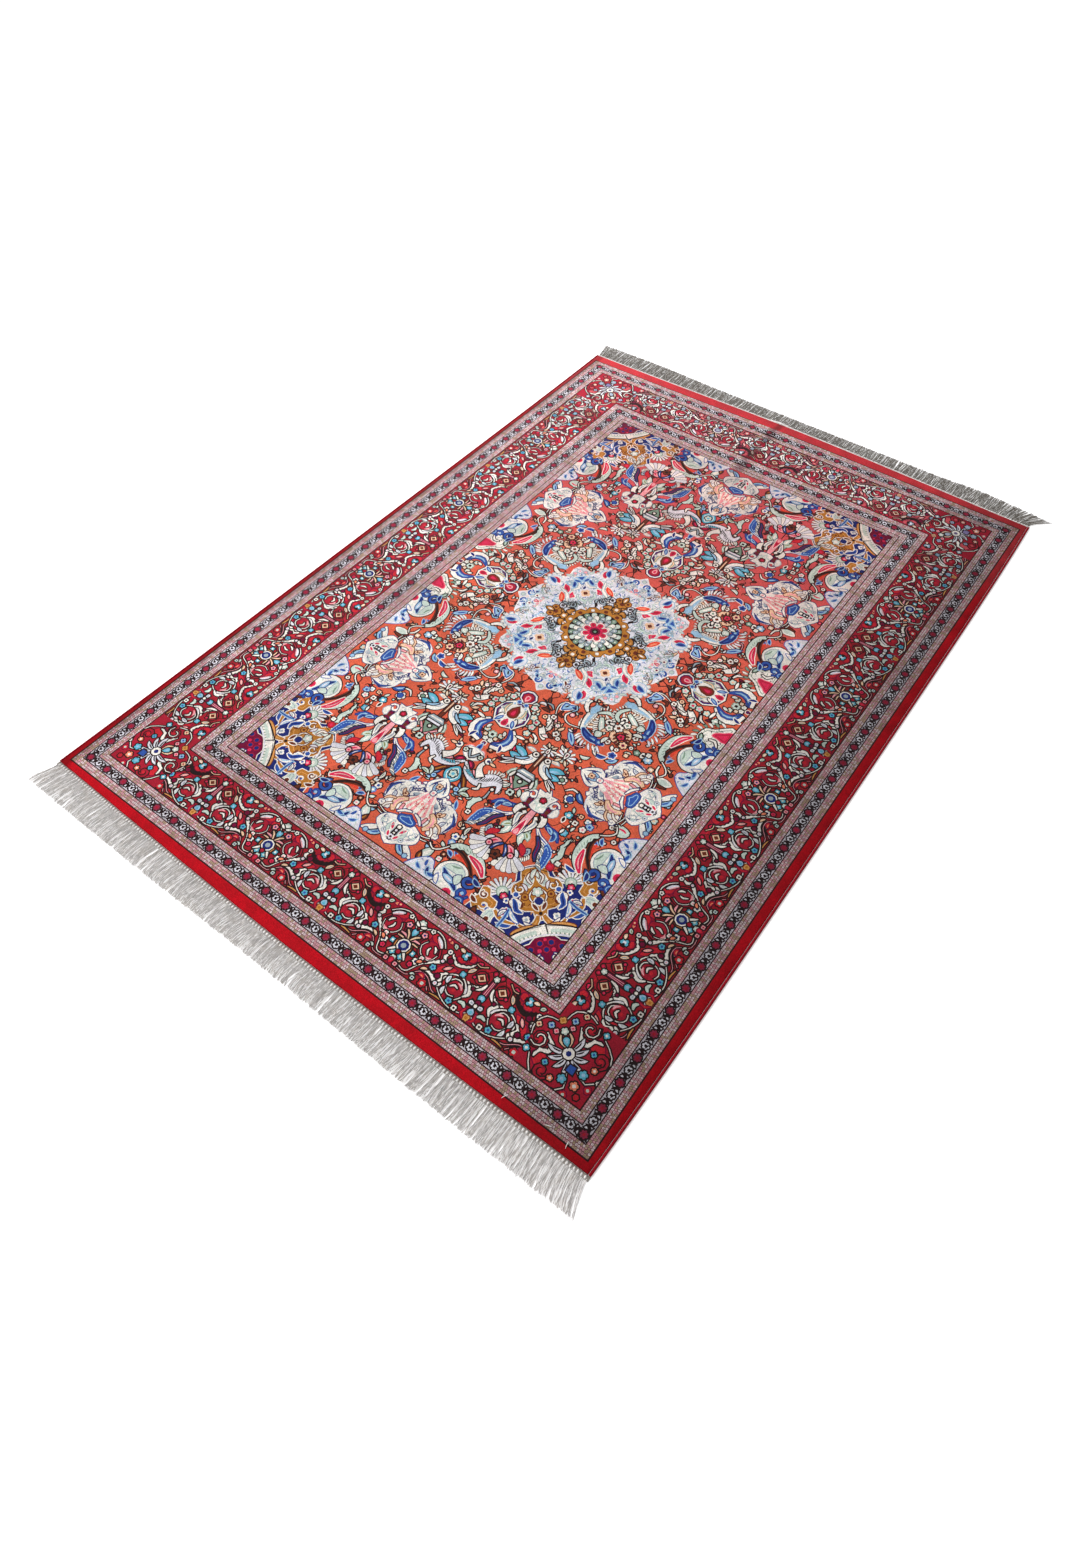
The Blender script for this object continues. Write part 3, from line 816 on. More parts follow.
# In the corner piece's own frame: x along the diagonal from the field's corner
SPANDREL = """
patch navy/ivory : 15.6 0, 15.4 1.5, 14.6 2.5, 13.2 2.9, 13.2 4.6, 13.2 6.2, 12 7.6, 11.2 9, 10.4 10.6,
    6 14, -4 4, -4 -4, 6 -14, 10.4 -10.6, 11.2 -9, 12 -7.6, 13.2 -6.2, 13.2 -4.6, 13.2 -2.9, 14.6 -2.5,
    15.4 -1.5; *fan ivory//pearl 11.9 5 10 2.5 10 175; *disc sage/moss/ivory 12 5 .8
*bloom rose//pink 11.2 4.9 .55 5; *bloom ivory/navy/royal 10.4 4.6 .5 5
*patch gold/ivory/amber .45 : 12.6 6.6, 13.2 7.6, 12 8.3, 11.6 9.4, 10.2 9.6, 9.6 8.4, 8.8 7.6, 9.4 6.6,
    10.4 6, 11.4 6.8; *coil brown/ivory 11.9 7.6 .6 1 0 .3; *coil ivory/gold/royal 10.2 7.9 .75 1 90 .3
*disc royal/ivory 9.4 7.5 .4; *leaf brown/ivory 10.8 8.9 20 1.4 .6 .1
*patch ivory/grey/brown .4 : 9.4 10, 10.2 11.2, 9 12, 7.4 12, 7.4 10.8, 8.4 10.2
*leaf brown 8.6 9.6 -20 1.6 .7 .1; *disc ink/ivory 8.2 9.4 .4
*patch sage/ivory/grey .3 : 9 6, 9.4 7.4, 8.2 8.6, 7 9, 6.8 7.8, 8 7; *disc brown/ivory 8 7.8 .4
patch gold/ivory/amber .55 : 15.3 0, 14.9 1.8, 13.4 2, 12.8 3.3, 11.4 3.7, 10.9 2.3, 9.4 3.2, 8.4 2.2,
    8.2 1, 6.9 .8, 6.7 0, 6.9 -.8, 8.2 -1, 8.4 -2.2, 9.4 -3.2, 10.9 -2.3, 11.4 -3.7, 12.8 -3.3, 13.4 -2,
    14.9 -1.8; marks brown/-/amber 11 0 3.4 .6 30
*patch sage/ivory/grey .3 : 14.4 .5, 13.7 1.4, 12.4 1.7, 12.1 1, 13.2 .3
*patch ivory/brown/sky .3 : 10.6 3.2, 9.6 2.4, 8.9 3, 9.3 4, 10.3 4.2
patch navy/ivory : 9.7 .7, 9 0, 9.7 -.7, 10.4 0
*band gold/ivory/amber .5 .8 .3 : 7.4 .4, 6.2 1, 5.6 2.4, 6.4 3.4
*band gold/ivory .4 .6 .2 : 9.2 6.4, 8 6, 7 5, 6.6 3.8
*band ivory/brown .15 .3 .15 : 14.6 .4, 13.6 1.2, 12.6 .7; *coil ivory/brown/gold 12 2.4 .8 1 40 .26
*band royal/ivory/navy .2 .8 .2 : 10.6 3.6, 9.8 3.4, 8.7 3.4, 8.1 2.6; *disc royal/ivory 11.2 3.1 .42
*leaf sage/brown/ivory 13.4 .5 -30 1.8 .6 .1; *band ivory/brown .1 .24 .1 : 11.6 .6, 10.6 1.3, 9.6 .9
*leaf brown/- 9.8 2.4 160 1 .4 .1; *disc gold/brown/brown 10.6 1.9 .5; bloom sage/brown/ivory 11.2 0 .8 5
*leaf brown/ivory 8.2 .3 30 1.4 .5 0; disc ink/gold 7.7 0 .3; *leaf pearl/brown 12.8 2 200 1.4 .4 .1
*bloom rose/ivory/scarlet 8.6 5 .7 5; *leaf ivory/royal/sky 6.6 3.4 20 2.4 .6 .1
*bloom ivory/navy/grey 7 2.2 .6 4; *leaf royal/ivory 6.4 4.4 70 2.2 .6 .1
*leaf ivory/navy 6 1.4 60 1.4 .4 .1; *band royal/sky .2 .3 .2 : 9 4.4, 7.8 5.2, 6.6 6.4
*leaf ivory/navy/grey 8.2 6 -60 1.4 .5 .1
*patch amber/brown/gold .3 : 6 1.4, 5.9 3, 5.4 4.4, 4.9 4.6, 4.6 3.4, 5 2, 5.6 .6
*patch brown/ivory/amber .3 : 6.2 6.2, 5.6 7.6, 4 8.6, 3.4 7.4, 4.6 6.4, 5 5.4
*leaf ink/- 5.2 3.4 120 1.8 .3 0; *band ivory//sage 1.9 1.4 1.9 : 5 -.4, 4.7 2.4, 3.8 5, 1.6 7.4, -1 9.2
*barbs moss/- .8 .24 70 12 : 4.8 .2, 4.5 2.6, 3.6 5, 1.6 7.2
*band ink/- .1 .1 .1 : 5.7 .2, 5.4 2.6, 4.5 5.2, 2.4 7.8
*band pearl/- .3 .3 .3 : 4.3 0, 4 2.4, 3 4.6, .8 6.8
patch maroon/ivory : 4.1 0, 4 1.4, 3.2 2.2, 2.9 3.4, 1.8 4.2, .4 5.2, -3 3, -3 -3, .4 -5.2, 1.8 -4.2,
    2.9 -3.4, 3.2 -2.2, 4 -1.4; *disc navy/crimson 3.1 .8 .42; *disc navy/crimson 2.3 2.2 .42
*disc rose/- 2 1 .34; *disc navy/crimson 1.4 3.4 .4; *disc crimson/- 2.5 3.1 .26; disc rose/- 3.6 0 .26
disc navy/crimson 2.1 0 .4; *coil ivory/navy/ink .9 1 .55 1 0 .24; *disc rose/navy .7 2.4 .36
*disc sky/- 1.5 1.9 .18; *disc crimson/navy .2 3.6 .34
"""
SCATTER_SEED = 41
DRIFT = -0.6  # the tables' x over the true x
SWAPPED = Spot(heading=90, flipped=True)


CURL_SPACING = 0.62
CURL_SIZE = 0.9
CURL_TONES = ("pearl", "sky", "grey", "grey", "grey", "sage", "moss", "royal")
CURLED_AREA = 20  # the side of the square that is tried


def filigree(p, middle):
    """Small curls all over the medallion's lobes and tips, on a jittered grid."""
    chance = random.Random(SCATTER_SEED)
    count = int(CURLED_AREA / CURL_SPACING)
    for row in range(count):
        for column in range(count):
            x = column + chance.uniform(0.1, 0.9)
            y = row + chance.uniform(0.1, 0.9)
            point = complex(x, y) * CURL_SPACING
            tone = chance.choice(CURL_TONES)
            heading = chance.uniform(0, 360)
            scale = chance.uniform(0.7, 1.2) * CURL_SIZE
            if in_medallion(point):
                path = curve(0, complex(0.4, 0.4) * scale, complex(1, 0.2) * scale, steps=1)
                curl = ribbon(path, 0.1, 0.32 * scale, 0.08)
                p.paint(middle.at(point.real, point.imag, heading), curl, tone)


def in_medallion(point):
    """Whether a place lies in a lobe or a tip of the medallion, outside its gold ring."""
    low, high = sorted((point.real, point.imag))
    return abs(point) > 6.6 and high < 12 or high < 15 and low < 4


PETAL_ROWS = (
    # petals, radius, width, two tones in turn
    (20, 4.75, 1.0, "moss", "sage"),
    (18, 3.95, 0.9, "grey", "ivory"),
    (14, 3.15, 0.9, "sage", "grey"),
)


def rosette(p, middle):
    """The medallion's heart: a gold ring, three rows of cool petals and a red flower."""
    p.paint(middle, lobed(7.0, 16, 0.12), "pearl", "grey", 0.12)
    leaf = lens(1.2, 0.45, 0.2, 1)
    for step in range(20):
        p.paint(middle.at(0, 0, 18 * step).at(6.2, 0.1), leaf, ("grey", "ink")[step % 2], "ink", 0.06)
    for heading in (0, 90):
        draw(p, middle.at(0, 0, heading), GOLD_ARM)
    p.paint(middle, lobed(6.1, 14, 0.12, 13), "gold", "ink", 0.1)
    stud = lobed(0.36, 4, 0.2)
    gleam = lens(0.9, 0.34, 0.1, 1)
    for step in range(14):
        p.paint(middle.at(0, 0, 25.7 * step).at(5.35, 0), stud, ("ivory", "brown")[step % 2], "brown", 0.06)
        p.paint(middle.at(0, 0, 25.7 * step + 13).at(5.5, 0), gleam, "amber")
    p.paint(middle, lobed(4.85, 20, 0.1), "ink")
    for count, radius, width, first, second in PETAL_ROWS:
        for step in range(-1, count // 4 + 2):
            petal = middle.at(0, 0, 360 * step / count)
            p.paint(petal, drop(radius, width), (first, second)[step % 2], "ink", 0.08)
            p.paint(petal.at(radius - 0.5, 0), disc(0.16, 4), "ivory")
    p.paint(middle, lobed(2.45, 8, 0.22, 22.5), "ivory", "pink", 0.1)
    for step in range(8):
        petal = middle.at(0, 0, 45 * step)
        p.paint(petal, drop(2.2, 1.0), "rose", "maroon", 0.08)
        p.paint(petal.at(1.2, 0), drop(0.8, 0.5), "crimson")
    for radius, tone in ((1.0, "maroon"), (0.62, "ink"), (0.26, "moss")):
        p.paint(middle, disc(radius, 8), tone)


def medallion(p):
    """One quarter of the medallion: its tips, its lobe and its heart."""
    middle = Spot()
    for spot in (middle, SWAPPED):
        draw(p, spot, MEDALLION_TIP)
    for spot in (middle, SWAPPED):
        draw(p, spot.at(13.5, 6.5), EYE_PALMETTE)
    lobe = [0, 12.0, 11.9 + 2.6j, 12.6 + 4.2j, 12.0 + 6.0j, 12.6 + 7.8j, 12.1 + 9.2j, 12.4 + 11.0j]
    lobe += [12 + 12j] + [complex(z.imag, z.real) for z in reversed(lobe)]
    p.paint(middle, lobe, "pearl", "ivory", 0.16)
    filigree(p, middle)
    for spot in (middle, SWAPPED):
        draw(p, spot, MEDALLION_LOBE)
    draw(p, middle.at(0, 0, 45), MEDALLION_DIAGONAL)
    rosette(p, middle)


def covers(outline, x, y):
    """Whether an outline goes round a place."""
    turns = 0
    before = outline[-1]
    for point in outline:
        if (before.imag > y) != (point.imag > y):
            run = point.real - before.real
            crossing = before.real + (y - before.imag) * run / (point.imag - before.imag)
            if crossing > x:
                turns += 1 if point.imag > y else -1
        before = point
    return turns != 0


TWIG_PITCH = 1.9
TWIG = """
band ink/- .1 .2 .06 : 0 0, .5 .4, 1.1 .1, 1.5 .4; leaf {} .9 .1 -50 .7 .3 .1; disc {} 1.6 .5 .2
"""
TWIG_TONES = ("brown", "sage", "beige", "ivory", "maroon")


def twigs(p, taken):
    """Dark twigs with a leaf and a bud each, on the field's ground where no motif lies over their middle."""
    chance = random.Random(SCATTER_SEED)
    boxed = []
    for outline, _, _ in taken:
        xs = [point.real for point in outline]
        ys = [point.imag for point in outline]
        boxed.append((min(xs), max(xs), min(ys), max(ys), outline))
    for row in range(round(FIELD[1] / TWIG_PITCH)):
        for column in range(round(FIELD[0] / TWIG_PITCH)):
            x = (column + chance.uniform(0.2, 0.8)) * TWIG_PITCH
            y = (row + chance.uniform(0.2, 0.8)) * TWIG_PITCH
            spot = Spot(x, y, chance.uniform(0, 360), 0.9)
            leaf = chance.choice(TWIG_TONES)
            bud = chance.choice(TWIG_TONES)
            middle = spot(0.8 + 0.2j)
            x, y = middle.real, middle.imag
            free = not any(
                left < x < right and low < y < high and covers(outline, x, y)
                for left, right, low, high, outline in boxed
            )
            if free and 1 < x < FIELD[0] - 1.6 and 1 < y < FIELD[1] - 1.6:
                draw(p, spot, TWIG.format(leaf, bud))


def field(p):
    """One quarter of the field, from the middle of the rug outwards."""
    side, down, up = 180, 270, 90
    draw(p, Spot(*FIELD, 225), SPANDREL)
    drifted = Spot(DRIFT, 0)
    draw(p, drifted, OUTER_GROUND)
    draw(p, Spot(FIELD[0], 37.6, side, 1.0, True), EDGE_GROUP)
    draw(p, Spot(FIELD[0], 14.0, side), EDGE_GROUP)
    draw(p, Spot(11.4, FIELD[1], down), EDGE_GROUP)
    for spot in (Spot(), SWAPPED):
        draw(p, spot, INNER_GROUND)
    draw(p, Spot(11.9, 11.9, 45).at(6.6, 0), DIAGONAL)
    draw(p, Spot(23.4, 0, 0), PENDANT)
    draw(p, Spot(0, 23.8, up), PENDANT)
    draw(p, Spot(0, 0, up), END_PALMETTE)
    draw(p, Spot(FIELD[0], 26.1, side), CARTOUCHE)
    draw(p, Spot(0, FIELD[1], down), CARTOUCHE)
    draw(p, Spot(14.4, 40, up), BOUQUET)
    draw(p, Spot(9.3, 0, up), TREE)
    draw(p, drifted, CRANE)
    draw(p, Spot(12.2, 25.7, down), SMALL_PALMETTES)
    draw(p, Spot(9.3, 26.1, up, 0.8), SMALL_PALMETTES)
    medallion(p)


# The stripes round the field


def stripe_boxes():
    """The half sizes (x, y) of the rectangles between which the stripes lie, from the field outwards."""
    x, y = FIELD
    boxes = [(x, y)]
    for _, side, end, _ in STRIPES:
        x += side
        y += end
        boxes.append((x, y))
    boxes.append(SLAB)
    return boxes


GROUNDS = {"line": "ink", "dots": "beige", "flowers": "silver", "border": "red", "band": "band"}


def lay_stripe(p, inner, outer, kind):
    """A stripe's ground along the side and along the end, mitred at the corner."""
    (x0, y0), (x1, y1) = inner, outer
    dotted = kind == "dots"
    mitre = [complex(x1, y1), complex(x0, y0)]
    p.paint(Spot(), [x0, x1, *mitre], GROUNDS[kind], stripe=("side", x0, x1) if dotted else None)
    p.paint(Spot(), [*mitre, 1j * y0, 1j * y1], GROUNDS[kind], stripe=("end", y0, y1) if dotted else None)


def lay_stripes(p, first, last):
    """The guards' stripes from one place in the list up to another, with their flowers."""
    boxes = stripe_boxes()
    for index in range(first, last):
        lay_stripe(p, boxes[index], boxes[index + 1], STRIPES[index][3])
        if STRIPES[index][3] == "flowers":
            guard_flowers(p, boxes[index], boxes[index + 1], 0.5 if index < MAIN_BORDER else 0.0)


# From one axis of the main border to the next: x along it, y inwards from its outer edge. It is drawn for a
# stretch 13.6 long and 8.35 wide, and is stretched to fit.
UNIT = (13.6, 8.35)
HALF_UNIT = """
band crimson/scarlet 0.9 1.3 0.5 : 0 8.2, 3 8.3, 7 8.2, 12 8.3
band pink .08 .08 .08 : 5.4 .6, 6.3 .75, 7.4 1.6, 8.2 1.95, 9.3 1.87, 10 1, 10.6 .34, 12.1 .34, 12.8 .9
band pink .08 .08 .08 : 6.7 .3, 7.6 1.2, 8.4 1.55, 9.2 1.4
patch scarlet/maroon : 4.5 4.4, 5.6 3.9, 6 2.7, 5.3 1.4, 4.2 .8, 4.9 2, 4.7 3.2, 3.8 4
patch scarlet/maroon : 9 6.2, 10 7.4, 11.4 7.6, 10.9 6.6, 9.8 6.2, 8.9 5.2
patch scarlet/maroon : 11.6 7.3, 12.6 7.2, 13.3 6.3, 12.4 5.6, 11.3 6.3
patch scarlet/maroon : 4 7.9, 4.6 8.2, 5 7.6, 4.6 7.1, 4.1 7.3
patch scarlet/maroon : 5 6.8, 5.6 6.2, 6.4 6.6, 5.9 7
patch scarlet/maroon : 7 4.6, 7.7 3.6, 7.3 2.9, 6.6 3.8; patch scarlet/maroon : 5.2 5, 6 4.9, 6.8 4, 5.9 4.1
patch crimson/maroon : 2.5 3.4, 3.6 4.2, 5 3.6, 5.2 2.2, 4 1.3, 2.6 2
patch crimson/maroon : 9 5, 9.6 6.2, 10.8 6.2, 11.3 5, 10.6 3.8, 9.3 3.9
band ivory .1 .16 .1 : 2.9 1.5, 2.3 2.5, 2.6 3.7, 3.6 4.6, 4.9 4.5, 5.8 3.8, 6 2.8, 5.7 1.9
band ivory .1 .14 .1 : 3.1 3.5, 3.6 4.1, 4.6 4, 5.1 3.1, 4.9 2.1, 4.1 1.6, 3.3 1.8
band pink/- .1 .35 .1 : 2.9 3.1, 3.3 3.6, 3.9 3.7; band ivory .1 .3 .1 : 3.5 3, 4.1 3.2, 4.6 2.7
leaf pearl//grey 5.3 4 265 1.2 .55 .1; leaf pearl//sage 4.8 1 75 1.3 .5 -.1; disc scarlet/- 3.8 2.5 .3
band ivory .1 .12 .08 : 5.9 1.5, 4.75 .76, 3.4 .3, 2.3 .27, 1.3 .48, .4 1.1
band ivory .08 .12 .08 : 8.8 3.9, 9.4 3.3, 10.2 2.2, 10.7 1, 11.4 .6, 12.4 .9
band ivory .1 .13 .1 : 8.6 6.6, 9.5 7.5, 10.7 7.95, 11.8 7.8, 12.6 7.2, 13.4 6.4
band crimson .2 .3 .15 : 11.4 6.1, 11.9 5, 11.2 3.9, 10 3.4, 9 3.8, 8.5 5, 9 6
band ivory .07 .1 .07 : 11.2 5.9, 11.6 5, 11 4, 10 3.6, 9.1 4, 8.8 5
band ivory .1 .3 .1 : 9.3 5.1, 9.5 5.6, 9.9 5.9; band ivory .1 .28 .1 : 10 4.3, 10.4 4.9, 10.3 5.4
band pink/- .1 .28 .1 : 9.2 4.2, 9.7 3.9, 10.2 4; band pearl .15 .5 .15 : 9 6.3, 9.7 6.9, 10.5 7.4
band pink/- .1 .2 .1 : 9.1 6.2, 9.8 6.7, 10.4 7.1
saw ivory .55 .14 : .6 5.8, .9 5, 1.6 4.5, 2.4 4.4, 3.2 4.7
band ivory .3 .5 .15 : 2.5 4.4, 2 3.8, 1.8 3.2, 2.3 2.5; disc maroon 1.8 4.3 .22
band pearl/- .1 .2 .1 : 2.9 4.2, 2.4 3.6, 2.2 3
saw ivory .5 .14 : 5.9 3.9, 6.5 3.3, 6.2 2.6, 6.1 2, 6.4 1.6, 7.1 2, 7.9 2.4, 8.8 2.4, 9.6 2
band ivory .35 .4 .2 : 6.4 1.6, 6 1.9, 5.8 2.3; disc pearl//pink 6.5 1.8 .3; disc maroon 6.9 2.8 .34
saw ivory .5 -.14 : 3.6 7.5, 4 6.6, 4.9 6, 5.9 5.7, 6.7 6.2, 7.4 6.7, 8.3 7
saw ivory .5 .12 : 7.5 6.5, 7.8 5.7, 7.5 5, 8.1 4.4, 8.8 3.8, 9.4 3.1; disc ivory//indigo 7.7 6.6 .36
disc maroon 6.8 5.55 .38; disc pearl//pink 7.7 4.9 .24; leaf pink//beige 6 5 -48 1.3 .42 0
leaf beige//grey 3.1 6.8 -55 1.3 .5 .05; disc crimson 1.8 6.2 .95
plot beige : 1.1 6.2, 1.8 6.85, 2.5 6.2, 1.8 5.6; plot brown/- : 1.35 6.2, 1.8 6.6, 2.2 6.2, 1.8 5.8
disc rose 2.7 5.75 .2; bloom rose//maroon 3.1 7.6 .42 5; band beige .1 .1 .1 : 2 8, 2.9 7.4, 3.6 7.5
bloom turquoise//sky 4.2 5.1 .45 4; bloom turquoise//pearl 5.5 7.5 .62 5; leaf ink/- 4.7 7.5 0 .7 .5 0
leaf beige//ivory 6 7.7 10 .9 .5 .1; leaf sage//olive 7.3 7.4 40 .8 .5 .1
leaf salmon/maroon 8.2 7.7 10 .8 .45 .1; bloom turquoise//royal 8.2 3.4 .45 5
bloom turquoise//royal 3.4 1 .46 5; bloom ivory//ink 2.2 .62 .42 4
band sage .2 .5 .2 : 1.1 1.5, 1.6 1.9, 2.3 1.7; band amber .1 .2 .1 : 4.5 .35, 5.2 .4, 6.2 .25
bloom scarlet//sage 7.9 .7 .6 5; leaf scarlet/maroon/salmon 8.2 1.3 10 1 .5 .2; leaf sage 9.5 1 -20 .7 .4 .1
bloom sage//navy 9.5 .5 .32 4; bloom pink//crimson 12.7 .6 .36 4; bloom beige//rose 12.6 1.4 .3 4
bloom ivory//navy 10.7 2.6 .5 5; disc turquoise/- 10.45 2.7 .2; bloom ivory//pink 10.3 3.45 .36 4
bloom turquoise//ivory 11.8 3.2 .42 4; bloom rose//crimson 11.1 1.8 .36 5; leaf salmon 9.9 3.1 -40 .8 .4 .1
bloom pink//navy 12.2 6.35 .44 5; bloom sky//royal 12.7 5.6 .32 4; bloom ivory//ink 11.6 7.55 .36 5
leaf beige 12.3 2.2 30 .9 .35 .1; bloom scarlet/maroon/beige 9 8 .3 4; leaf beige 8.6 2.7 -30 1 .35 .1
"""
# The flower on an axis between two half units, which stands across the border
CROSS_FLOWER = """
plot maroon : 4.3 .45, 7 .3, 7 -.3, 4.3 -.45; plot pink/- : 4.4 .2, 6.9 .14, 6.9 .06, 4.4 .1
plot pink/- : 4.4 -.2, 6.9 -.14, 6.9 -.06, 4.4 -.1; *band ivory .15 .38 .08 : 5.9 .55, 5 .8, 4.4 1.4
*band ink/- .12 .14 .1 : 8.2 .7, 7.3 1.6, 6.6 .9; *drop crimson//rose 7.3 .2 35 1 .6
bloom sage//ivory 7.3 0 .42 5; *leaf indigo 2.2 .2 40 1.1 .5 0; *leaf indigo 2.9 .2 130 1.1 .5 0
drop turquoise//sky 3.2 0 0 1.15 1; disc maroon 3.1 0 .36; *drop pearl//grey 2.55 .15 80 .95 .6
drop sky//turquoise 2.1 0 180 1.05 .95; disc ivory 2.55 0 .26; bloom amber/brown/gold .55 0 .52 4
*band scarlet/maroon .1 .3 .1 : .2 .5, .8 1, 1.6 .8
"""
ROUND_FLOWER = """
*band brown .2 .4 .2 : 4.2 .9, 3.4 1.2, 2.5 1.1; *band amber/- .06 .16 .06 : 4 .95, 3.4 1.2, 2.7 1.1
*band pink .1 .3 .16 : 4.3 .15, 4.85 .7, 4.9 1.7; *band beige .1 .26 .16 : 4.4 .1, 5.3 .6, 5.7 1.1
*band ink/- .1 .4 .1 : 4.2 .2, 4.4 .9, 4.2 1.9; *band beige .06 .2 .12 : 4.2 .3, 4.35 1, 4.3 1.8
bloom sage//ivory 7.5 0 .6 6; *leaf ivory 7 .1 60 .9 .35 .1; drop turquoise//sky 5.2 0 0 1.2 .9
disc ink/- 6.4 0 .22; *bloom turquoise//sage 1.85 .75 .46 5
*band ivory .2 .34 .12 : 2.9 .5, 2.4 .9, 1.7 1.5; bloom sage//ivory 1.2 0 .42 5; disc ivory 3.4 0 1.02
disc navy/-/grey 3.4 0 .82; disc crimson 2.25 0 .32; drop scarlet/maroon/rose .2 0 0 .95 .7
*bloom pink//crimson .6 .85 .34 4
"""
# The corner, drawn along the diagonal from a point about 5 cm inside the border's outer corner on each axis
CORNER_PIECE = """
*band ivory .1 .14 .1 : 4.6 .6, 5.4 2, 4.8 3.6, 3.4 4.4
*band ivory .1 .14 .1 : -2 .6, -4.2 1.4, -3.8 4, -1.4 5.4, 1 5; *coil crimson//scarlet 2.6 3.4 1.3 1.1 90 .5
*coil ivory 2.6 3.4 1.2 .9 90 .16; *patch scarlet/maroon : -.5 3, 1 3.3, 1 4.6, -.8 4.6
*coil crimson//scarlet -1.6 3.9 1.1 -1 200 .4
*saw ivory .5 .14 : .4 4.6, 1 3.6, .6 2.6, 1.2 1.8, 2.2 2, 3.2 2.2; *leaf pearl//ink .2 .3 55 2.6 .6 .1
*leaf pearl//ink -.1 .3 85 2.4 .6 .1; *leaf pearl//ink -.4 .3 115 2.2 .6 .1
*leaf pearl//ink -.8 .2 145 2 .55 .1; *band beige .1 .3 .1 : .9 .3, 1.8 .8, 2.8 .5; disc ivory//navy 0 0 .8
*bloom turquoise//sky -3 1.4 .6 5; *bloom turquoise//royal -.6 3.2 .4 4; *bloom sky//royal 4.1 1.6 .45 4
*bloom salmon//ivory -2.7 2.9 .42 5; *bloom ivory//ink -4.4 3.1 .4 4; *bloom scarlet/maroon/sage -5 1.6 .5 4
*bloom turquoise//ivory 1.6 5.3 .45 4; *bloom beige//crimson 4.5 3.2 .4 4; *bloom pink//rose 3.2 1.1 .36 4
plot royal : -2 .7, -1.4 0, -2 -.7, -2.8 0; bloom salmon//ivory -4.2 0 .6 5; bloom sage//ivory 3 0 .5 5
disc scarlet -5.6 0 .4; drop turquoise//sky .9 0 0 1.3 .9; bloom amber/brown/gold 4.5 0 .5 4
"""


class Stretched(Spot):
    """A spot whose places are stretched along and across it. What is drawn at a place keeps its shape."""

    def __init__(self, spot, along, across):
        super().__init__()
        self.place, self.turn, self.flipped = spot.place, spot.turn, spot.flipped
        self.along, self.across = along, across

    def __call__(self, point):
        return super().__call__(complex(point.real * self.along, point.imag * self.across))



def border_run(p, start, heading, flipped, span, width, axes):
    """The main border along one edge, from an axis of the rug on, with its two kinds of flower in turn."""
    along, across = span / UNIT[0], width / UNIT[1]
    run = Spot(start.real, start.imag, heading, 1.0, flipped)
    for step in range(axes):
        if step % 2:
            spot = run.at((step + 1) * span, 0, 180, 1.0, True)
        else:
            spot = run.at(step * span, 0)
        draw(p, Stretched(spot, along, across), HALF_UNIT)
    for step in range(axes):
        flower = Stretched(run.at(step * span, 0, 90), across, along)
        draw(p, flower, (CROSS_FLOWER, ROUND_FLOWER)[step % 2])


def borders(p):
    """The main border over one quarter. Its corner piece covers the cut ends of the two runs."""
    boxes = stripe_boxes()
    inner, outer = boxes[MAIN_BORDER], boxes[MAIN_BORDER + 1]
    border_run(p, 1j * outer[1], 0, True, END_SPAN, outer[1] - inner[1], 3)
    border_run(p, complex(outer[0], 0), 90, False, SIDE_SPAN, outer[0] - inner[0], 5)
    reach = CORNER_REACH
    by_the_end = complex(-reach, inner[1] - outer[1])
    by_the_side = complex(inner[0] - outer[0], -reach)
    p.paint(Spot(*outer), [0, -reach, by_the_end, by_the_side, -1j * reach], "crimson")
    draw(p, Spot(outer[0] - 5.2, outer[1] - 4.8, 225), CORNER_PIECE)


ROSETTE_PITCH = 4.05
GUARD_WIDTH = 1.4  # the width that a guard's flowers are drawn for
GUARD_UNIT = """
drop pearl .72 .45 -60 .5 .3; drop pearl 1.28 -.45 120 .5 .3; leaf ink/- .8 -.62 62 1.35 .42 .16
bloom pearl//ink 2.02 0 .5 6; leaf ink/- 1.65 -.3 20 .8 .2 0; drop pearl 2.78 -.45 60 .5 .3
drop pearl 3.3 .45 -120 .5 .3; leaf ink/- 2.85 .62 -62 1.35 .42 -.16; bloom plum//crimson 0 0 .56 7
bloom plum//crimson 4.05 0 .56 7
"""


def flower_stripe(p, start, heading, length, width, shift):
    """Rosettes and dark palmettes in turn along a guard stripe, with slanting leaves between."""
    count = round(length / ROSETTE_PITCH - shift) + 1
    along = length / (count - 1 + shift) / ROSETTE_PITCH
    run = Spot(start.real, start.imag, heading)
    for step in range(count):
        spot = run.at((step - shift) * along * ROSETTE_PITCH, 0)
        draw(p, Stretched(spot, along, width / GUARD_WIDTH), GUARD_UNIT)


def guard_flowers(p, inner, outer, shift):
    """The flowers of one guard along the end and along the side, moved on by a share of their pitch."""
    (x0, y0), (x1, y1) = inner, outer
    x, y = (x0 + x1) / 2, (y0 + y1) / 2
    flower_stripe(p, 1j * y, 0, x, y1 - y0, shift)
    flower_stripe(p, complex(x, 0), 90, y, x1 - x0, shift)


PLAIN_EDGE = (0.03, 0.09)  # lines where the clipped pile rounds off


def field_pattern():
    """The field over its ground, from the lowest shape up: (outline, yarn, dotted stripe) for each."""
    p = Pattern()
    field(p)
    ground = Pattern()
    ground.paint(Spot(), [0, FIELD[0], complex(*FIELD), 1j * FIELD[1]], "coral")
    twigs(ground, p.shapes)
    return ground.shapes + p.shapes


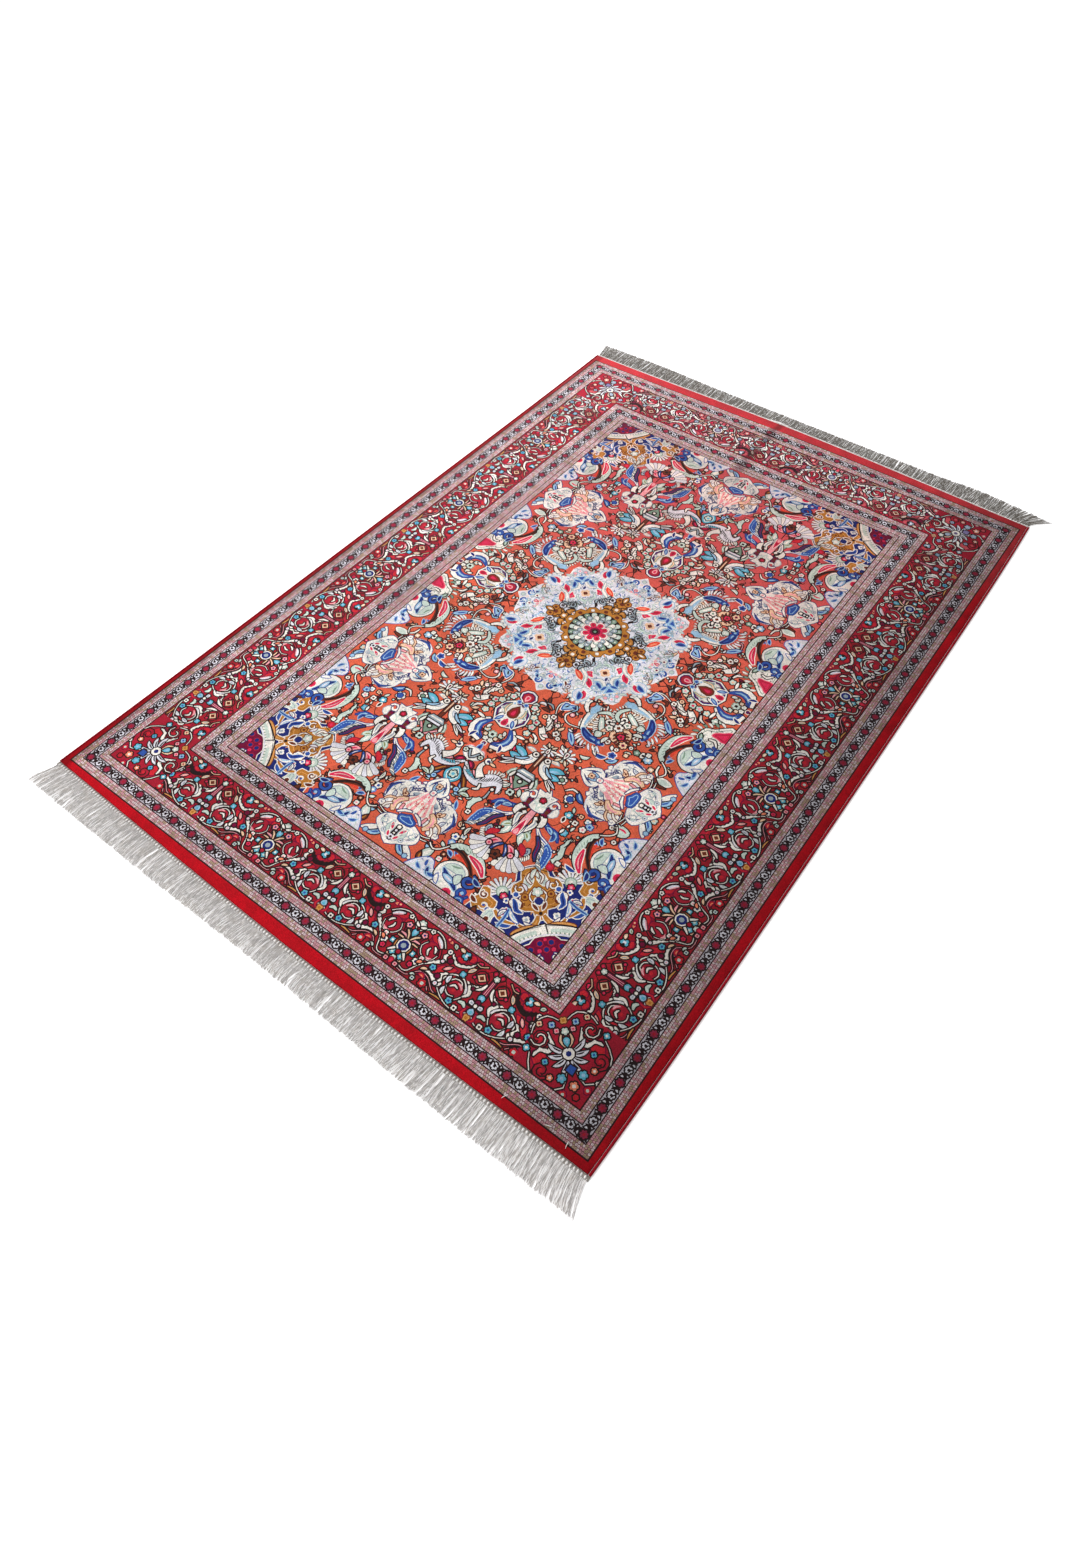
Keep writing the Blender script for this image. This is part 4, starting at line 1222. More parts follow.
def border_pattern():
    """The stripes round the field, in the same way. The guards cover what the main border leaves on them."""
    p = Pattern()
    for inset in (0, *PLAIN_EDGE):
        x, y = SLAB[0] - inset, SLAB[1] - inset
        p.paint(Spot(), [0, x, complex(x, y), 1j * y], "band")
    boxes = stripe_boxes()
    lay_stripe(p, boxes[MAIN_BORDER], boxes[MAIN_BORDER + 1], "border")
    borders(p)
    lay_stripes(p, 0, MAIN_BORDER)
    lay_stripes(p, MAIN_BORDER + 1, len(STRIPES))
    lay_stripe(p, boxes[-2], boxes[-1], "band")
    return p.shapes


# The pattern ends here.


# The settings that a user would change


def colour_setting(label, text, hex_colour):
    return bpy.props.FloatVectorProperty(
        name=label, description=text, subtype="COLOR", size=3, min=0.0, max=1.0, default=linear(hex_colour)
    )


def linear(hex_colour):
    """The scene's own colour for a hex one."""
    parts = [int(hex_colour[i : i + 2], 16) / 255 for i in (1, 3, 5)]
    return tuple(c / 12.92 if c <= 0.04045 else ((c + 0.055) / 1.055) ** 2.4 for c in parts)


class RugYarns(bpy.types.PropertyGroup):
    """The dyed silk yarns of the pile."""

    __annotations__ = {
        name: colour_setting(name.capitalize(), f"Colour of the {name} yarn", hex_colour)
        for name, hex_colour in YARNS.items()
    }


class RugPile(bpy.types.PropertyGroup):
    """The knotted pile."""

    knot_width: bpy.props.FloatProperty(
        name="Knot width", description="Width of one knot, across the rug",
        default=0.0011, min=0.0005, max=0.004, unit="LENGTH", precision=4,
    )
    knot_height: bpy.props.FloatProperty(
        name="Knot height", description="Height of one knot, along the rug",
        default=0.0010, min=0.0005, max=0.004, unit="LENGTH", precision=4,
    )
    grid_step: bpy.props.FloatProperty(
        name="Surface step", description="Longest step of the plain parts of the surface",
        default=0.019, min=0.01, max=0.05, unit="LENGTH",
    )


class RugSides(bpy.types.PropertyGroup):
    """The overcast cords along the sides."""

    wrap_pitch: bpy.props.FloatProperty(
        name="Wrap pitch", description="From one turn of the overcast yarn to the next",
        default=0.0013, min=0.0008, max=0.005, unit="LENGTH", precision=4,
    )
    wrap_depth: bpy.props.FloatProperty(
        name="Wrap depth", description="Depth of the groove between two turns, as a share of the radius",
        default=0.04, min=0.0, max=0.3, subtype="FACTOR",
    )
    colour: colour_setting("Colour", "Colour of the overcast silk", "#8E0A1C")


class RugEnds(bpy.types.PropertyGroup):
    """The woven strips, the knots and the fringe."""

    bundles: bpy.props.IntProperty(
        name="Bundles", description="Knotted bundles of warps at each end", default=188, min=20, max=400
    )
    threads: bpy.props.IntProperty(
        name="Threads", description="Warp threads in each bundle", default=12, min=2, max=20
    )
    thread_radius: bpy.props.FloatProperty(
        name="Thread radius", description="Radius of one warp thread",
        default=0.00042, min=0.0002, max=0.002, unit="LENGTH", precision=5,
    )
    near_colour: colour_setting("Near colour", "Colour of the fringe at the near end", "#E8E4E2")
    far_colour: colour_setting("Far colour", "Colour of the fringe at the far end", "#847E76")
    knot_colour: colour_setting("Knot colour", "Colour of the knots that hold the fringe", "#FAF8F6")
    gap_colour: colour_setting("Gap colour", "Colour of the woven strip between the knots", "#9C958E")


class RugStudio(bpy.types.PropertyGroup):
    """The floor, the lights and the camera."""

    floor_colour: colour_setting("Floor", "Colour of the studio floor", "#F7F7F8")
    lens: bpy.props.FloatProperty(
        name="Lens", description="Focal length on a 36 mm sensor",
        default=21.113, min=10, max=200, unit="CAMERA",
    )
    camera_place: bpy.props.FloatVectorProperty(
        name="Camera", description="Where the camera stands",
        default=(0.6144, -0.9844, 1.1664), subtype="TRANSLATION", unit="LENGTH", size=3,
    )
    camera_azimuth: bpy.props.FloatProperty(
        name="Azimuth", description="How far the view is turned to the left",
        default=math.radians(36.71), subtype="ANGLE",
    )
    camera_elevation: bpy.props.FloatProperty(
        name="Elevation", description="How far the view looks down",
        default=math.radians(54.37), subtype="ANGLE",
    )
    camera_roll: bpy.props.FloatProperty(
        name="Roll", description="How far the camera is tilted",
        default=math.radians(0.290), subtype="ANGLE",
    )


SETTINGS = {
    "rug_yarns": RugYarns, "rug_pile": RugPile, "rug_sides": RugSides, "rug_ends": RugEnds,
    "rug_studio": RugStudio,
}


# Nodes


class Nodes:
    """A short way to add and join the nodes of a material."""

    def __init__(self, tree):
        self.tree = tree

    def add(self, kind, *inputs, **settings):
        """A node, with values or other nodes' outputs on its first inputs."""
        node = self.tree.nodes.new(kind)
        for name, value in settings.items():
            setattr(node, name, value)
        for index, value in enumerate(inputs):
            self.put(node.inputs[index], value)
        return node

    def put(self, socket, value):
        if isinstance(value, bpy.types.Node):
            value = next(output for output in value.outputs if output.enabled)
        if isinstance(value, bpy.types.NodeSocket):
            self.tree.links.new(value, socket)
        elif value is not None:
            socket.default_value = value

    def math(self, operation, *values):
        return self.add("ShaderNodeMath", *values, operation=operation)

    def vector(self, operation, *values):
        return self.add("ShaderNodeVectorMath", *values, operation=operation)

    def mix(self, share, first, second, blend="MIX"):
        node = self.tree.nodes.new("ShaderNodeMix")
        node.data_type = "RGBA"
        node.blend_type = blend
        self.put(node.inputs[0], share)
        self.put(node.inputs[6], first)
        self.put(node.inputs[7], second)
        return node.outputs[2]

    def ramp(self, value, *stops):
        node = self.tree.nodes.new("ShaderNodeValToRGB")
        self.put(node.inputs[0], value)
        ramp = node.color_ramp
        while len(ramp.elements) < len(stops):
            ramp.elements.new(1.0)
        for element, (place, colour) in zip(ramp.elements, stops):
            element.position = place
            element.color = (*colour, 1.0) if hasattr(colour, "__len__") else (colour, colour, colour, 1.0)
        return node.outputs[0]

    def smooth(self, value, low, high, bottom=0.0, top=1.0):
        node = self.tree.nodes.new("ShaderNodeMapRange")
        node.interpolation_type = "SMOOTHSTEP"
        for index, number in enumerate((value, low, high, bottom, top)):
            self.put(node.inputs[index], number)
        return node.outputs[0]


WHITE = (1.0, 1.0, 1.0, 1.0)


def new_material(
    name, roughness, sheen=0.0, sheen_roughness=0.4, sheen_tint=(1, 1, 1), specular=0.5, metallic=0.0
):
    """A material, its short way to add nodes, and its shader."""
    material = bpy.data.materials.new(name)
    material.use_nodes = True
    shader = material.node_tree.nodes["Principled BSDF"]
    shader.inputs["Roughness"].default_value = roughness
    shader.inputs["Metallic"].default_value = metallic
    shader.inputs["Sheen Weight"].default_value = sheen
    shader.inputs["Sheen Roughness"].default_value = sheen_roughness
    shader.inputs["Sheen Tint"].default_value = (*sheen_tint, 1.0)
    shader.inputs["Specular IOR Level"].default_value = specular
    return material, Nodes(material.node_tree), shader


# How a dotted stripe is filled: the pitch in centimetres, the rows, and the dots' colours by their share
DOT_PITCH = 0.34
DOT_ROWS = 3.0
DOT_TONES = ((0.0, "#E6AEB6"), (0.36, "#BEB08C"), (0.62, "#F4E6E6"))
DOT_GROUND = "#8C6268"
DOT_CORE = "#8A4A48"


def dotted_stripe(n):
    """The colour of the dotted stripes, and whether it shows there."""
    place = n.add("ShaderNodeUVMap", uv_map="stripe")
    parts = n.add("ShaderNodeSeparateXYZ", place)
    along = n.math("DIVIDE", parts.outputs[0], DOT_PITCH)
    across = parts.outputs[1]
    row = n.math("FLOOR", n.math("MULTIPLY", across, DOT_ROWS))
    shifted = n.math("ADD", along, n.math("MULTIPLY", row, 0.5))
    cell = n.math("FLOOR", shifted)
    off_x = n.math("SUBTRACT", n.math("FRACT", shifted), 0.5)
    off_y = n.math("SUBTRACT", n.math("FRACT", n.math("MULTIPLY", across, DOT_ROWS)), 0.5)
    distance = n.math("POWER", n.math("ADD", n.math("POWER", off_x, 2.0), n.math("POWER", off_y, 2.0)), 0.5)
    dot = n.smooth(distance, 0.46, 0.34)
    core = n.smooth(distance, 0.19, 0.10)
    which = n.add("ShaderNodeCombineXYZ", cell, row, 0.0)
    yarn = n.add("ShaderNodeTexWhiteNoise", which, noise_dimensions="2D")
    tone = n.ramp(yarn.outputs["Value"], *((place, linear(colour)) for place, colour in DOT_TONES))
    tone.node.color_ramp.interpolation = "CONSTANT"
    colour = n.mix(dot, (*linear(DOT_GROUND), 1.0), tone)
    colour = n.mix(core, colour, (*linear(DOT_CORE), 1.0))
    shown = n.math("GREATER_THAN", across, -0.5)
    return colour, shown


# How the lie of the pile shades it: the axis (0 across, 1 along), from where, to where, and the tone beyond
PILE_LIE = (
    (0, 0.29, 0.48, 0.62),
    (1, -0.50, -0.64, 0.94),
    (1, 0.54, 0.64, 1.14),
    (0, -0.30, -0.38, 1.10),
    (0, -0.490, -0.500, 0.55),
)
FOLD_DYE = "#3B2222"
FOLD_STRENGTH = 0.55


def pile_material():
    """Knotted silk: the dyed pattern, knot by knot, with streaks in the dye and the mark of an old fold."""
    pile = bpy.context.scene.rug_pile
    material, n, shader = new_material("knotted silk pile", 0.5, 0.05, 0.3, (1.0, 0.84, 0.86), 0.07, 0.33)
    place = n.add("ShaderNodeTexCoord").outputs["Object"]
    dye = n.add("ShaderNodeVertexColor", layer_name="dye").outputs["Color"]
    dots, shown = dotted_stripe(n)
    colour = n.mix(shown, dye, dots)
    # one tone for each knot
    knots = n.vector("DIVIDE", place, (pile.knot_width, pile.knot_height, 1.0))
    knot = n.add("ShaderNodeTexWhiteNoise", n.vector("FLOOR", knots), noise_dimensions="2D")
    tone = n.smooth(knot.outputs["Value"], 0.0, 1.0, 0.68, 1.02)
    colour = n.mix(1.0, colour, tone, "MULTIPLY")
    # streaks across the rug where a new lot of yarn begins
    streaks = n.add("ShaderNodeTexNoise", n.vector("MULTIPLY", place, (1.2, 16.0, 1.0)))
    streaks.inputs["Scale"].default_value = 1.0
    streaks.inputs["Detail"].default_value = 3.0
    colour = n.mix(1.0, colour, n.smooth(streaks.outputs["Fac"], 0.3, 0.7, 0.90, 1.08), "MULTIPLY")
    # where the pile was pressed or brushed another way
    brushed = n.add("ShaderNodeTexNoise", place)
    brushed.inputs["Scale"].default_value = 34.0
    brushed.inputs["Detail"].default_value = 4.0
    colour = n.mix(1.0, colour, n.smooth(brushed.outputs["Fac"], 0.32, 0.68, 0.86, 1.12), "MULTIPLY")
    # the borders' pile lies another way on each side
    parts = n.add("ShaderNodeSeparateXYZ", place)
    for axis, start, stop, shade in PILE_LIE:
        colour = n.mix(1.0, colour, n.smooth(parts.outputs[axis], start, stop, 1.0, shade), "MULTIPLY")
    # the dark mark of the fold
    wander = n.math("MULTIPLY", n.math("SUBTRACT", brushed.outputs["Fac"], 0.5), 0.02)
    off = n.math("ABSOLUTE", n.math("SUBTRACT", n.math("ADD", parts.outputs[0], wander), FOLD_X + 0.002))
    mark = n.smooth(off, 0.014, 0.002)
    mark = n.math("MULTIPLY", mark, n.smooth(parts.outputs[1], 0.50, 0.58))
    mark = n.math("MULTIPLY", mark, FOLD_STRENGTH)
    colour = n.mix(mark, colour, (*linear(FOLD_DYE), 1.0))
    n.put(shader.inputs["Base Color"], colour)
    # the knots' low relief
    inside = n.vector("SUBTRACT", n.vector("FRACTION", knots), (0.5, 0.5, 0.0))
    reach = n.vector("LENGTH", n.vector("MULTIPLY", inside, (1.0, 1.0, 0.0)))
    relief = n.smooth(reach.outputs["Value"], 0.62, 0.1)
    relief = n.math("ADD", relief, n.math("MULTIPLY", brushed.outputs["Fac"], 2.0))
    bump = n.add("ShaderNodeBump")
    bump.inputs["Strength"].default_value = 0.5
    bump.inputs["Distance"].default_value = 0.0004
    n.put(bump.inputs["Height"], relief)
    n.put(shader.inputs["Normal"], bump)
    roughness = n.smooth(brushed.outputs["Fac"], 0.3, 0.7, 0.46, 0.66)
    n.put(shader.inputs["Roughness"], roughness)
    return material


def thread_material(name, colour, roughness=0.6, streak=900.0, depth=0.42):
    """Spun threads: fine streaks of light and shade along each, and some dirt."""
    material, n, shader = new_material(name, roughness, 0.25, 0.4)
    place = n.add("ShaderNodeTexCoord").outputs["Object"]
    fine = n.add("ShaderNodeTexNoise", n.vector("MULTIPLY", place, (streak, streak * 0.12, streak)))
    fine.inputs["Scale"].default_value = 1.0
    wide = n.add("ShaderNodeTexNoise", place)
    wide.inputs["Scale"].default_value = 60.0
    wide.inputs["Detail"].default_value = 3.0
    shade = n.smooth(fine.outputs["Fac"], 0.3, 0.7, 1.0 - depth, 1.05)
    tone = n.mix(1.0, (*colour, 1.0), shade, "MULTIPLY")
    dirt = n.smooth(wide.outputs["Fac"], 0.45, 0.72, 0.0, 0.35)
    tone = n.mix(dirt, tone, (colour[0] * 0.70, colour[1] * 0.66, colour[2] * 0.60, 1.0))
    n.put(shader.inputs["Base Color"], tone)
    bump = n.add("ShaderNodeBump")
    bump.inputs["Strength"].default_value = 0.4
    bump.inputs["Distance"].default_value = 0.0002
    n.put(bump.inputs["Height"], fine.outputs["Fac"])
    n.put(shader.inputs["Normal"], bump)
    return material


def overcast_material():
    """Silk wound round the side cords, with its slanting turns."""
    sides = bpy.context.scene.rug_sides
    material, n, shader = new_material("overcast silk", 0.7, 0.02, 0.35, (1.0, 0.7, 0.72), 0.1)
    place = n.add("ShaderNodeTexCoord").outputs["Object"]
    turns = n.add("ShaderNodeTexWave", n.vector("MULTIPLY", place, (260.0, 1.0 / sides.wrap_pitch, 260.0)))
    turns.bands_direction = "Y"
    turns.inputs["Scale"].default_value = 0.3142
    turns.inputs["Distortion"].default_value = 0.4
    uneven = n.add("ShaderNodeTexNoise", place)
    uneven.inputs["Scale"].default_value = 130.0
    colour = (*sides.colour, 1.0)
    shade = n.smooth(turns.outputs["Fac"], 0.1, 0.9, 0.8, 1.04)
    tone = n.mix(1.0, colour, shade, "MULTIPLY")
    tone = n.mix(1.0, tone, n.smooth(uneven.outputs["Fac"], 0.3, 0.7, 0.82, 1.15), "MULTIPLY")
    n.put(shader.inputs["Base Color"], tone)
    return material


def floor_material():
    """A pale floor that glows a little, as a lit studio floor does, and more so away from the rug."""
    material, n, shader = new_material("studio floor", 0.85)
    place = n.add("ShaderNodeTexCoord").outputs["Object"]
    cloudy = n.add("ShaderNodeTexNoise", place)
    cloudy.inputs["Scale"].default_value = 1.5
    colour = (*bpy.context.scene.rug_studio.floor_colour, 1.0)
    clouds = n.smooth(cloudy.outputs["Fac"], 0.0, 1.0, 0.99, 1.0)
    n.put(shader.inputs["Base Color"], n.mix(1.0, colour, clouds, "MULTIPLY"))
    away = n.vector("LENGTH", place)
    shader.inputs["Emission Color"].default_value = WHITE
    n.put(shader.inputs["Emission Strength"], n.smooth(away.outputs["Value"], 0.8, 2.8, *FLOOR_GLOW))
    return material


# Meshes


def new_object(name, mesh):
    made = bpy.data.objects.new(name, mesh)
    bpy.context.scene.collection.objects.link(made)
    return made


def finish_piece(piece, material=None):
    """Gives the piece its material, its body and its slot."""
    if material:
        piece.data.materials.clear()
        piece.data.materials.append(material)
    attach(piece, BODY)
    return piece


# The pile's mesh, quarter by quarter and tile by tile

# The lines between the tiles in centimetres: evenly over the field, then evenly out to the rug's edge
TILES_X = [7.75 * step for step in range(4)] + [FIELD[0] + 6.6833 * step for step in range(3)] + [SLAB[0]]
TILES_Y = [8.0 * step for step in range(7)] + [FIELD[1] + 6.1667 * step for step in range(3)] + [SLAB[1]]
FOLD_TILES = (7.0, 38.0)  # the tiles that begin before this x and end beyond this y lie over the fold
FOLD_STEP = 0.65
SKEW = 0.003  # keeps the surface's points off one line
SNAP = 1e-6
NEARLY = 1e-4  # a shape this close to a tile is cut with it, so that both sides of a tile's edge match
WELD = 2e-4
UNDERSIDE_STEP = 4.0
UNDERSIDE_INSET = 0.3
UNDERSIDE = -1.0  # the height that stands for the underside in the flat drawing, where the top is at 0
UNDERSIDE_YARN = "crimson"


def steps_between(low, high, step):
    count = max(1, math.ceil((high - low) / step))
    return [low + (high - low) * index / count for index in range(1, count)]


def started_inside(outline):
    """The outline, wound and begun so that its first side has its inside to the left."""
    area = sum((outline[i - 1].conjugate() * outline[i]).imag for i in range(len(outline)))
    if area < 0:
        outline = outline[::-1]
    last = max(range(len(outline)), key=lambda i: outline[i].real)
    return outline[last + 1 :] + outline[: last + 1]


def shape_on_top(face, corners, source, drawn):
    """The place in the list of the last drawn shape that covers a triangle, or 0."""
    x = sum(corners[corner].x for corner in face) / 3
    y = sum(corners[corner].y for corner in face) / 3
    for index in sorted(source, reverse=True):
        if index > 0 and covers(drawn[index], x, y):
            return index
    return 0


def cut_tile(shapes, low, high, step):
    """One tile of the pattern: its points, and for each triangle its corners and the shape on top."""
    points = []
    outlines = []

    def add(outline):
        outlines.append(list(range(len(points), len(points) + len(outline))))
        points.extend(Vector((point.real, point.imag)) for point in started_inside(outline))

    add([low, complex(high.real, low.imag), high, complex(low.real, high.imag)])
    numbers = [None]
    drawn = [None]
    for number, (outline, _, _, (left, bottom, right, top)) in enumerate(shapes):
        beside = left > high.real + NEARLY or right < low.real - NEARLY
        if not beside and bottom < high.imag + NEARLY and top > low.imag - NEARLY:
            add(outline)
            numbers.append(number)
            drawn.append(outline)
    over_fold = low.real < FOLD_TILES[0] and high.imag > FOLD_TILES[1]
    for x in steps_between(low.real, high.real, FOLD_STEP if over_fold else step):
        for y in steps_between(low.imag, high.imag, step):
            points.append(Vector((x + SKEW * y, y)))
    corners, _, faces, _, _, sources = delaunay_2d_cdt(points, [], outlines, 1, SNAP, True)
    triangles = []
    for face, source in zip(faces, sources):
        top = shape_on_top(face, corners, source, drawn) if 0 in source else 0
        if top:
            triangles.append((face, numbers[top]))
    return corners, triangles


def quarter(shapes, field, step):
    """The triangles of one quarter: of the field, or of all the stripes round it."""
    boxed = []
    for outline, colour, stripe in shapes:
        xs = [point.real for point in outline]
        ys = [point.imag for point in outline]
        boxed.append((outline, colour, stripe, (min(xs), min(ys), max(xs), max(ys))))
    points = []
    triangles = []
    for left, right in zip(TILES_X, TILES_X[1:]):
        for bottom, top in zip(TILES_Y, TILES_Y[1:]):
            in_field = right < FIELD[0] + 0.1 and top < FIELD[1] + 0.1
            if in_field != field:
                continue
            corners, faces = cut_tile(boxed, complex(left, bottom), complex(right, top), step)
            start = len(points)
            points.extend(corners)
            triangles.extend(([corner + start for corner in face], number) for face, number in faces)
    return points, triangles


def edge_drop(x, y):
    """How far the clipped pile rounds off there, near the outer edge, in metres."""
    inset = min(SLAB[0] - x, SLAB[1] - y) * CM
    if inset >= PILE_EDGE_ROUND:
        return 0.0
    away = PILE_EDGE_ROUND - max(0.0, inset)
    return PILE_EDGE_ROUND - math.sqrt(max(0.0, PILE_EDGE_ROUND**2 - away**2))


def settle(place, edge):
    """The place, or the middle line, the field's edge or the rug's edge where it is all but on it."""
    for line in (0.0, *FIELD, edge):
        if abs(place - line) < 4 * NEARLY:
            return line
    return place


def spread_quarter(points, triangles, end, side):
    """One quarter of the rug: plan points in centimetres, triangles wound upwards, and shape numbers."""
    sign_x, sign_y = SIGNS[side], SIGNS[end]
    flat = [(sign_x * settle(point.x, SLAB[0]), sign_y * settle(point.y, SLAB[1])) for point in points]
    upwards = sign_x * sign_y > 0
    faces = [corners if upwards else corners[::-1] for corners, _ in triangles]
    return flat, faces, [number for _, number in triangles]


def close_underside(work, in_region, end, side):
    """Walls down from the open edges of the top, and a plain underside between them."""
    rim = [edge for edge in work.edges if len(edge.link_faces) == 1]
    for edge in rim:
        edge.smooth = False
    tops = list({corner for edge in rim for corner in edge.verts})
    order = {corner: index for index, corner in enumerate(tops)}
    points = [Vector((corner.co.x, corner.co.y)) for corner in tops]
    for x in steps_between(0, SLAB[0], UNDERSIDE_STEP):
        for y in steps_between(0, SLAB[1], UNDERSIDE_STEP):
            if in_region(x, y, UNDERSIDE_INSET):
                points.append(Vector((SIGNS[side] * x, SIGNS[end] * y)))
    edges = [[order[corner] for corner in edge.verts] for edge in rim]
    corners, _, faces, origins, _, _ = delaunay_2d_cdt(points, edges, [], 0, SNAP, True)
    lower = []
    matching = {}
    for corner, origin in zip(corners, origins):
        made = work.verts.new((corner.x, corner.y, UNDERSIDE))
        lower.append(made)
        for index in origin:
            if index < len(tops):
                matching[tops[index]] = made
    for face in faces:
        middle = sum((corners[i] for i in face), Vector((0, 0))) / len(face)
        if in_region(abs(middle.x), abs(middle.y), 0.0):
            work.faces.new([lower[i] for i in reversed(face)])
    for edge in rim:
        loop = edge.link_loops[0]
        first = loop.vert
        second = loop.link_loop_next.vert
        if matching[first] is not matching[second]:
            work.faces.new([second, first, matching[first], matching[second]])


def in_field(x, y, margin):
    return abs(x) < FIELD[0] - margin and abs(y) < FIELD[1] - margin


def in_borders(x, y, margin):
    inside = abs(x) < FIELD[0] + margin and abs(y) < FIELD[1] + margin
    return not inside and abs(x) < SLAB[0] - margin and abs(y) < SLAB[1] - margin


# How far each yarn of the far border has gone towards the faded tone
FADING = {
    "turquoise": 0.5, "sky": 0.4, "royal": 0.4, "navy": 0.25, "gold": 0.4, "amber": 0.4, "beige": 0.3,
    "salmon": 0.3, "sage": 0.2, "red": 0.18, "scarlet": 0.2, "band": 0.09,
}
FADES_BETWEEN = (46.0, 62.0)
TURNS_ROSY_BETWEEN = (-12.0, 44.0)
FIELD_FAR = (0.94, 0.82, 0.80, 1.0)  # what the far end of the field keeps of each yarn's red, green and blue


def smooth_share(value, low, high):
    share = max(0.0, min(1.0, (value - low) / (high - low)))
    return share * share * (3 - 2 * share)


def blend(share, first, second):
    return [(1 - share) * one + share * other for one, other in zip(first, second)]


def aged(tones, colour, y, field):
    """A yarn's dye at a place along the rug: rosier in the field's far half, faded in the far border."""
    if not field:
        fading = FADING.get(colour, 0.0) * smooth_share(y, *FADES_BETWEEN)
        return blend(fading, tones[colour], tones["faded"])
    share = smooth_share(y, *TURNS_ROSY_BETWEEN)
    tone = blend(share, tones["coral"], tones["coral_far"]) if colour == "coral" else tones[colour]
    return [part * far for part, far in zip(tone, blend(share, WHITE, FIELD_FAR))]


# The shares of the bake's picture that the top and both together take
TOP_BAND = 0.94
BOTH_BANDS = 0.98
NO_STRIPE = (0.0, -1.0)


def dye_piece(work, on_top, shapes, in_region):
    """Writes each corner's yarn, its place in its dotted stripe and its place in the bake's picture."""
    number_layer = work.faces.layers.int["shape"]
    dye = work.loops.layers.float_color.new("dye")
    stripe_map = work.loops.layers.uv.new("stripe")
    bake_map = work.loops.layers.uv.new("OFBake")
    yarns = bpy.context.scene.rug_yarns
    tones = {colour: (*getattr(yarns, colour), 1.0) for colour in YARNS}
    is_field = in_region is in_field
    reach_x, reach_y = FIELD if is_field else SLAB
    for face in work.faces:
        top = face in on_top
        _, colour, stripe = shapes[face[number_layer]] if top else (None, None, None)
        for loop in face.loops:
            x, y = loop.vert.co.x, loop.vert.co.y
            loop[dye] = aged(tones, colour, y, is_field) if top else tones[UNDERSIDE_YARN]
            u, v = abs(x) / reach_x, abs(y) / reach_y
            loop[bake_map].uv = (u, v * TOP_BAND) if top else (u, 1 - v * (BOTH_BANDS - TOP_BAND))
            loop[stripe_map].uv = NO_STRIPE
            if stripe:
                axis, low, high = stripe
                along, across = (abs(y), abs(x)) if axis == "side" else (abs(x), abs(y))
                loop[stripe_map].uv = (along, (across - low) / (high - low))


def lay_down(work):
    """Moves the points from the flat drawing in centimetres to their places on the floor in metres."""
    for vertex in work.verts:
        x, y = vertex.co.x * CM, vertex.co.y * CM
        height = wave_height(x, y)
        if vertex.co.z > UNDERSIDE / 2:
            height += THICKNESS - edge_drop(abs(vertex.co.x), abs(vertex.co.y))
        vertex.co = (*plan_point(x, y), height)


def pile_piece(name, shapes, parts, end, side, in_region):
    """One closed piece of the carpet, with the pattern on its top."""
    flat, faces, numbers = spread_quarter(*parts, end, side)
    mesh = bpy.data.meshes.new(name)
    mesh.from_pydata([(x, y, 0.0) for x, y in flat], [], faces)
    mesh.attributes.new("shape", "INT", "FACE").data.foreach_set("value", numbers)
    work = bmesh.new()
    work.from_mesh(mesh)
    bmesh.ops.remove_doubles(work, verts=work.verts, dist=WELD)
    for face in work.faces:
        face.smooth = True
    on_top = set(work.faces)
    close_underside(work, in_region, end, side)
    dye_piece(work, on_top, shapes, in_region)
    lay_down(work)
    work.to_mesh(mesh)
    work.free()
    mesh.attributes.remove(mesh.attributes["shape"])
    mesh.update()
    return new_object(name, mesh)


# Geometry Nodes


def socket_output(node):
    return next(output for output in node.outputs if output.enabled)


class Growth:
    """A Geometry Nodes tree under way, with named inputs."""

    def __init__(self, name, inputs):
        self.tree = bpy.data.node_groups.new(name, "GeometryNodeTree")
        interface = self.tree.interface
        interface.new_socket(name="Geometry", in_out="INPUT", socket_type="NodeSocketGeometry")
        self.values = {}
        for label, (kind, value) in inputs.items():
            socket = interface.new_socket(name=label, in_out="INPUT", socket_type=f"NodeSocket{kind}")
            if kind != "Material":
                socket.default_value = value
            self.values[socket.identifier] = value
        interface.new_socket(name="Geometry", in_out="OUTPUT", socket_type="NodeSocketGeometry")
        self.given = self.tree.nodes.new("NodeGroupInput")

    def add(self, kind, links=None, **settings):
        node = self.tree.nodes.new(kind)
        for name, value in settings.items():
            setattr(node, name, value)
        for name, value in (links or {}).items():
            socket = node.inputs[name]
            if isinstance(value, bpy.types.Node):
                value = socket_output(value)
            if isinstance(value, bpy.types.NodeSocket):
                self.tree.links.new(value, socket)
            else:
                socket.default_value = value
        return node

    def math(self, operation, first, second=None):
        links = {0: first}
        if second is not None:
            links[1] = second
        return self.add("ShaderNodeMath", links, operation=operation)

    def grow(self, piece, result):
        """Ends the tree, runs it on the piece, and leaves a plain mesh."""
        realized = self.add("GeometryNodeRealizeInstances", {"Geometry": result})
        painted = self.add(
            "GeometryNodeSetMaterial", {"Geometry": realized, "Material": self.given.outputs["Material"]}
        )
        last = self.tree.nodes.new("NodeGroupOutput")
        self.tree.links.new(painted.outputs["Geometry"], last.inputs["Geometry"])
        modifier = piece.modifiers.new("growth", "NODES")
        modifier.node_group = self.tree
        for identifier, value in self.values.items():
            modifier[identifier] = value
        bpy.context.view_layer.update()
        graph = bpy.context.evaluated_depsgraph_get()
        mesh = bpy.data.meshes.new_from_object(piece.evaluated_get(graph))
        mesh.name = piece.name
        piece.modifiers.remove(modifier)
        piece.data = mesh
        return piece


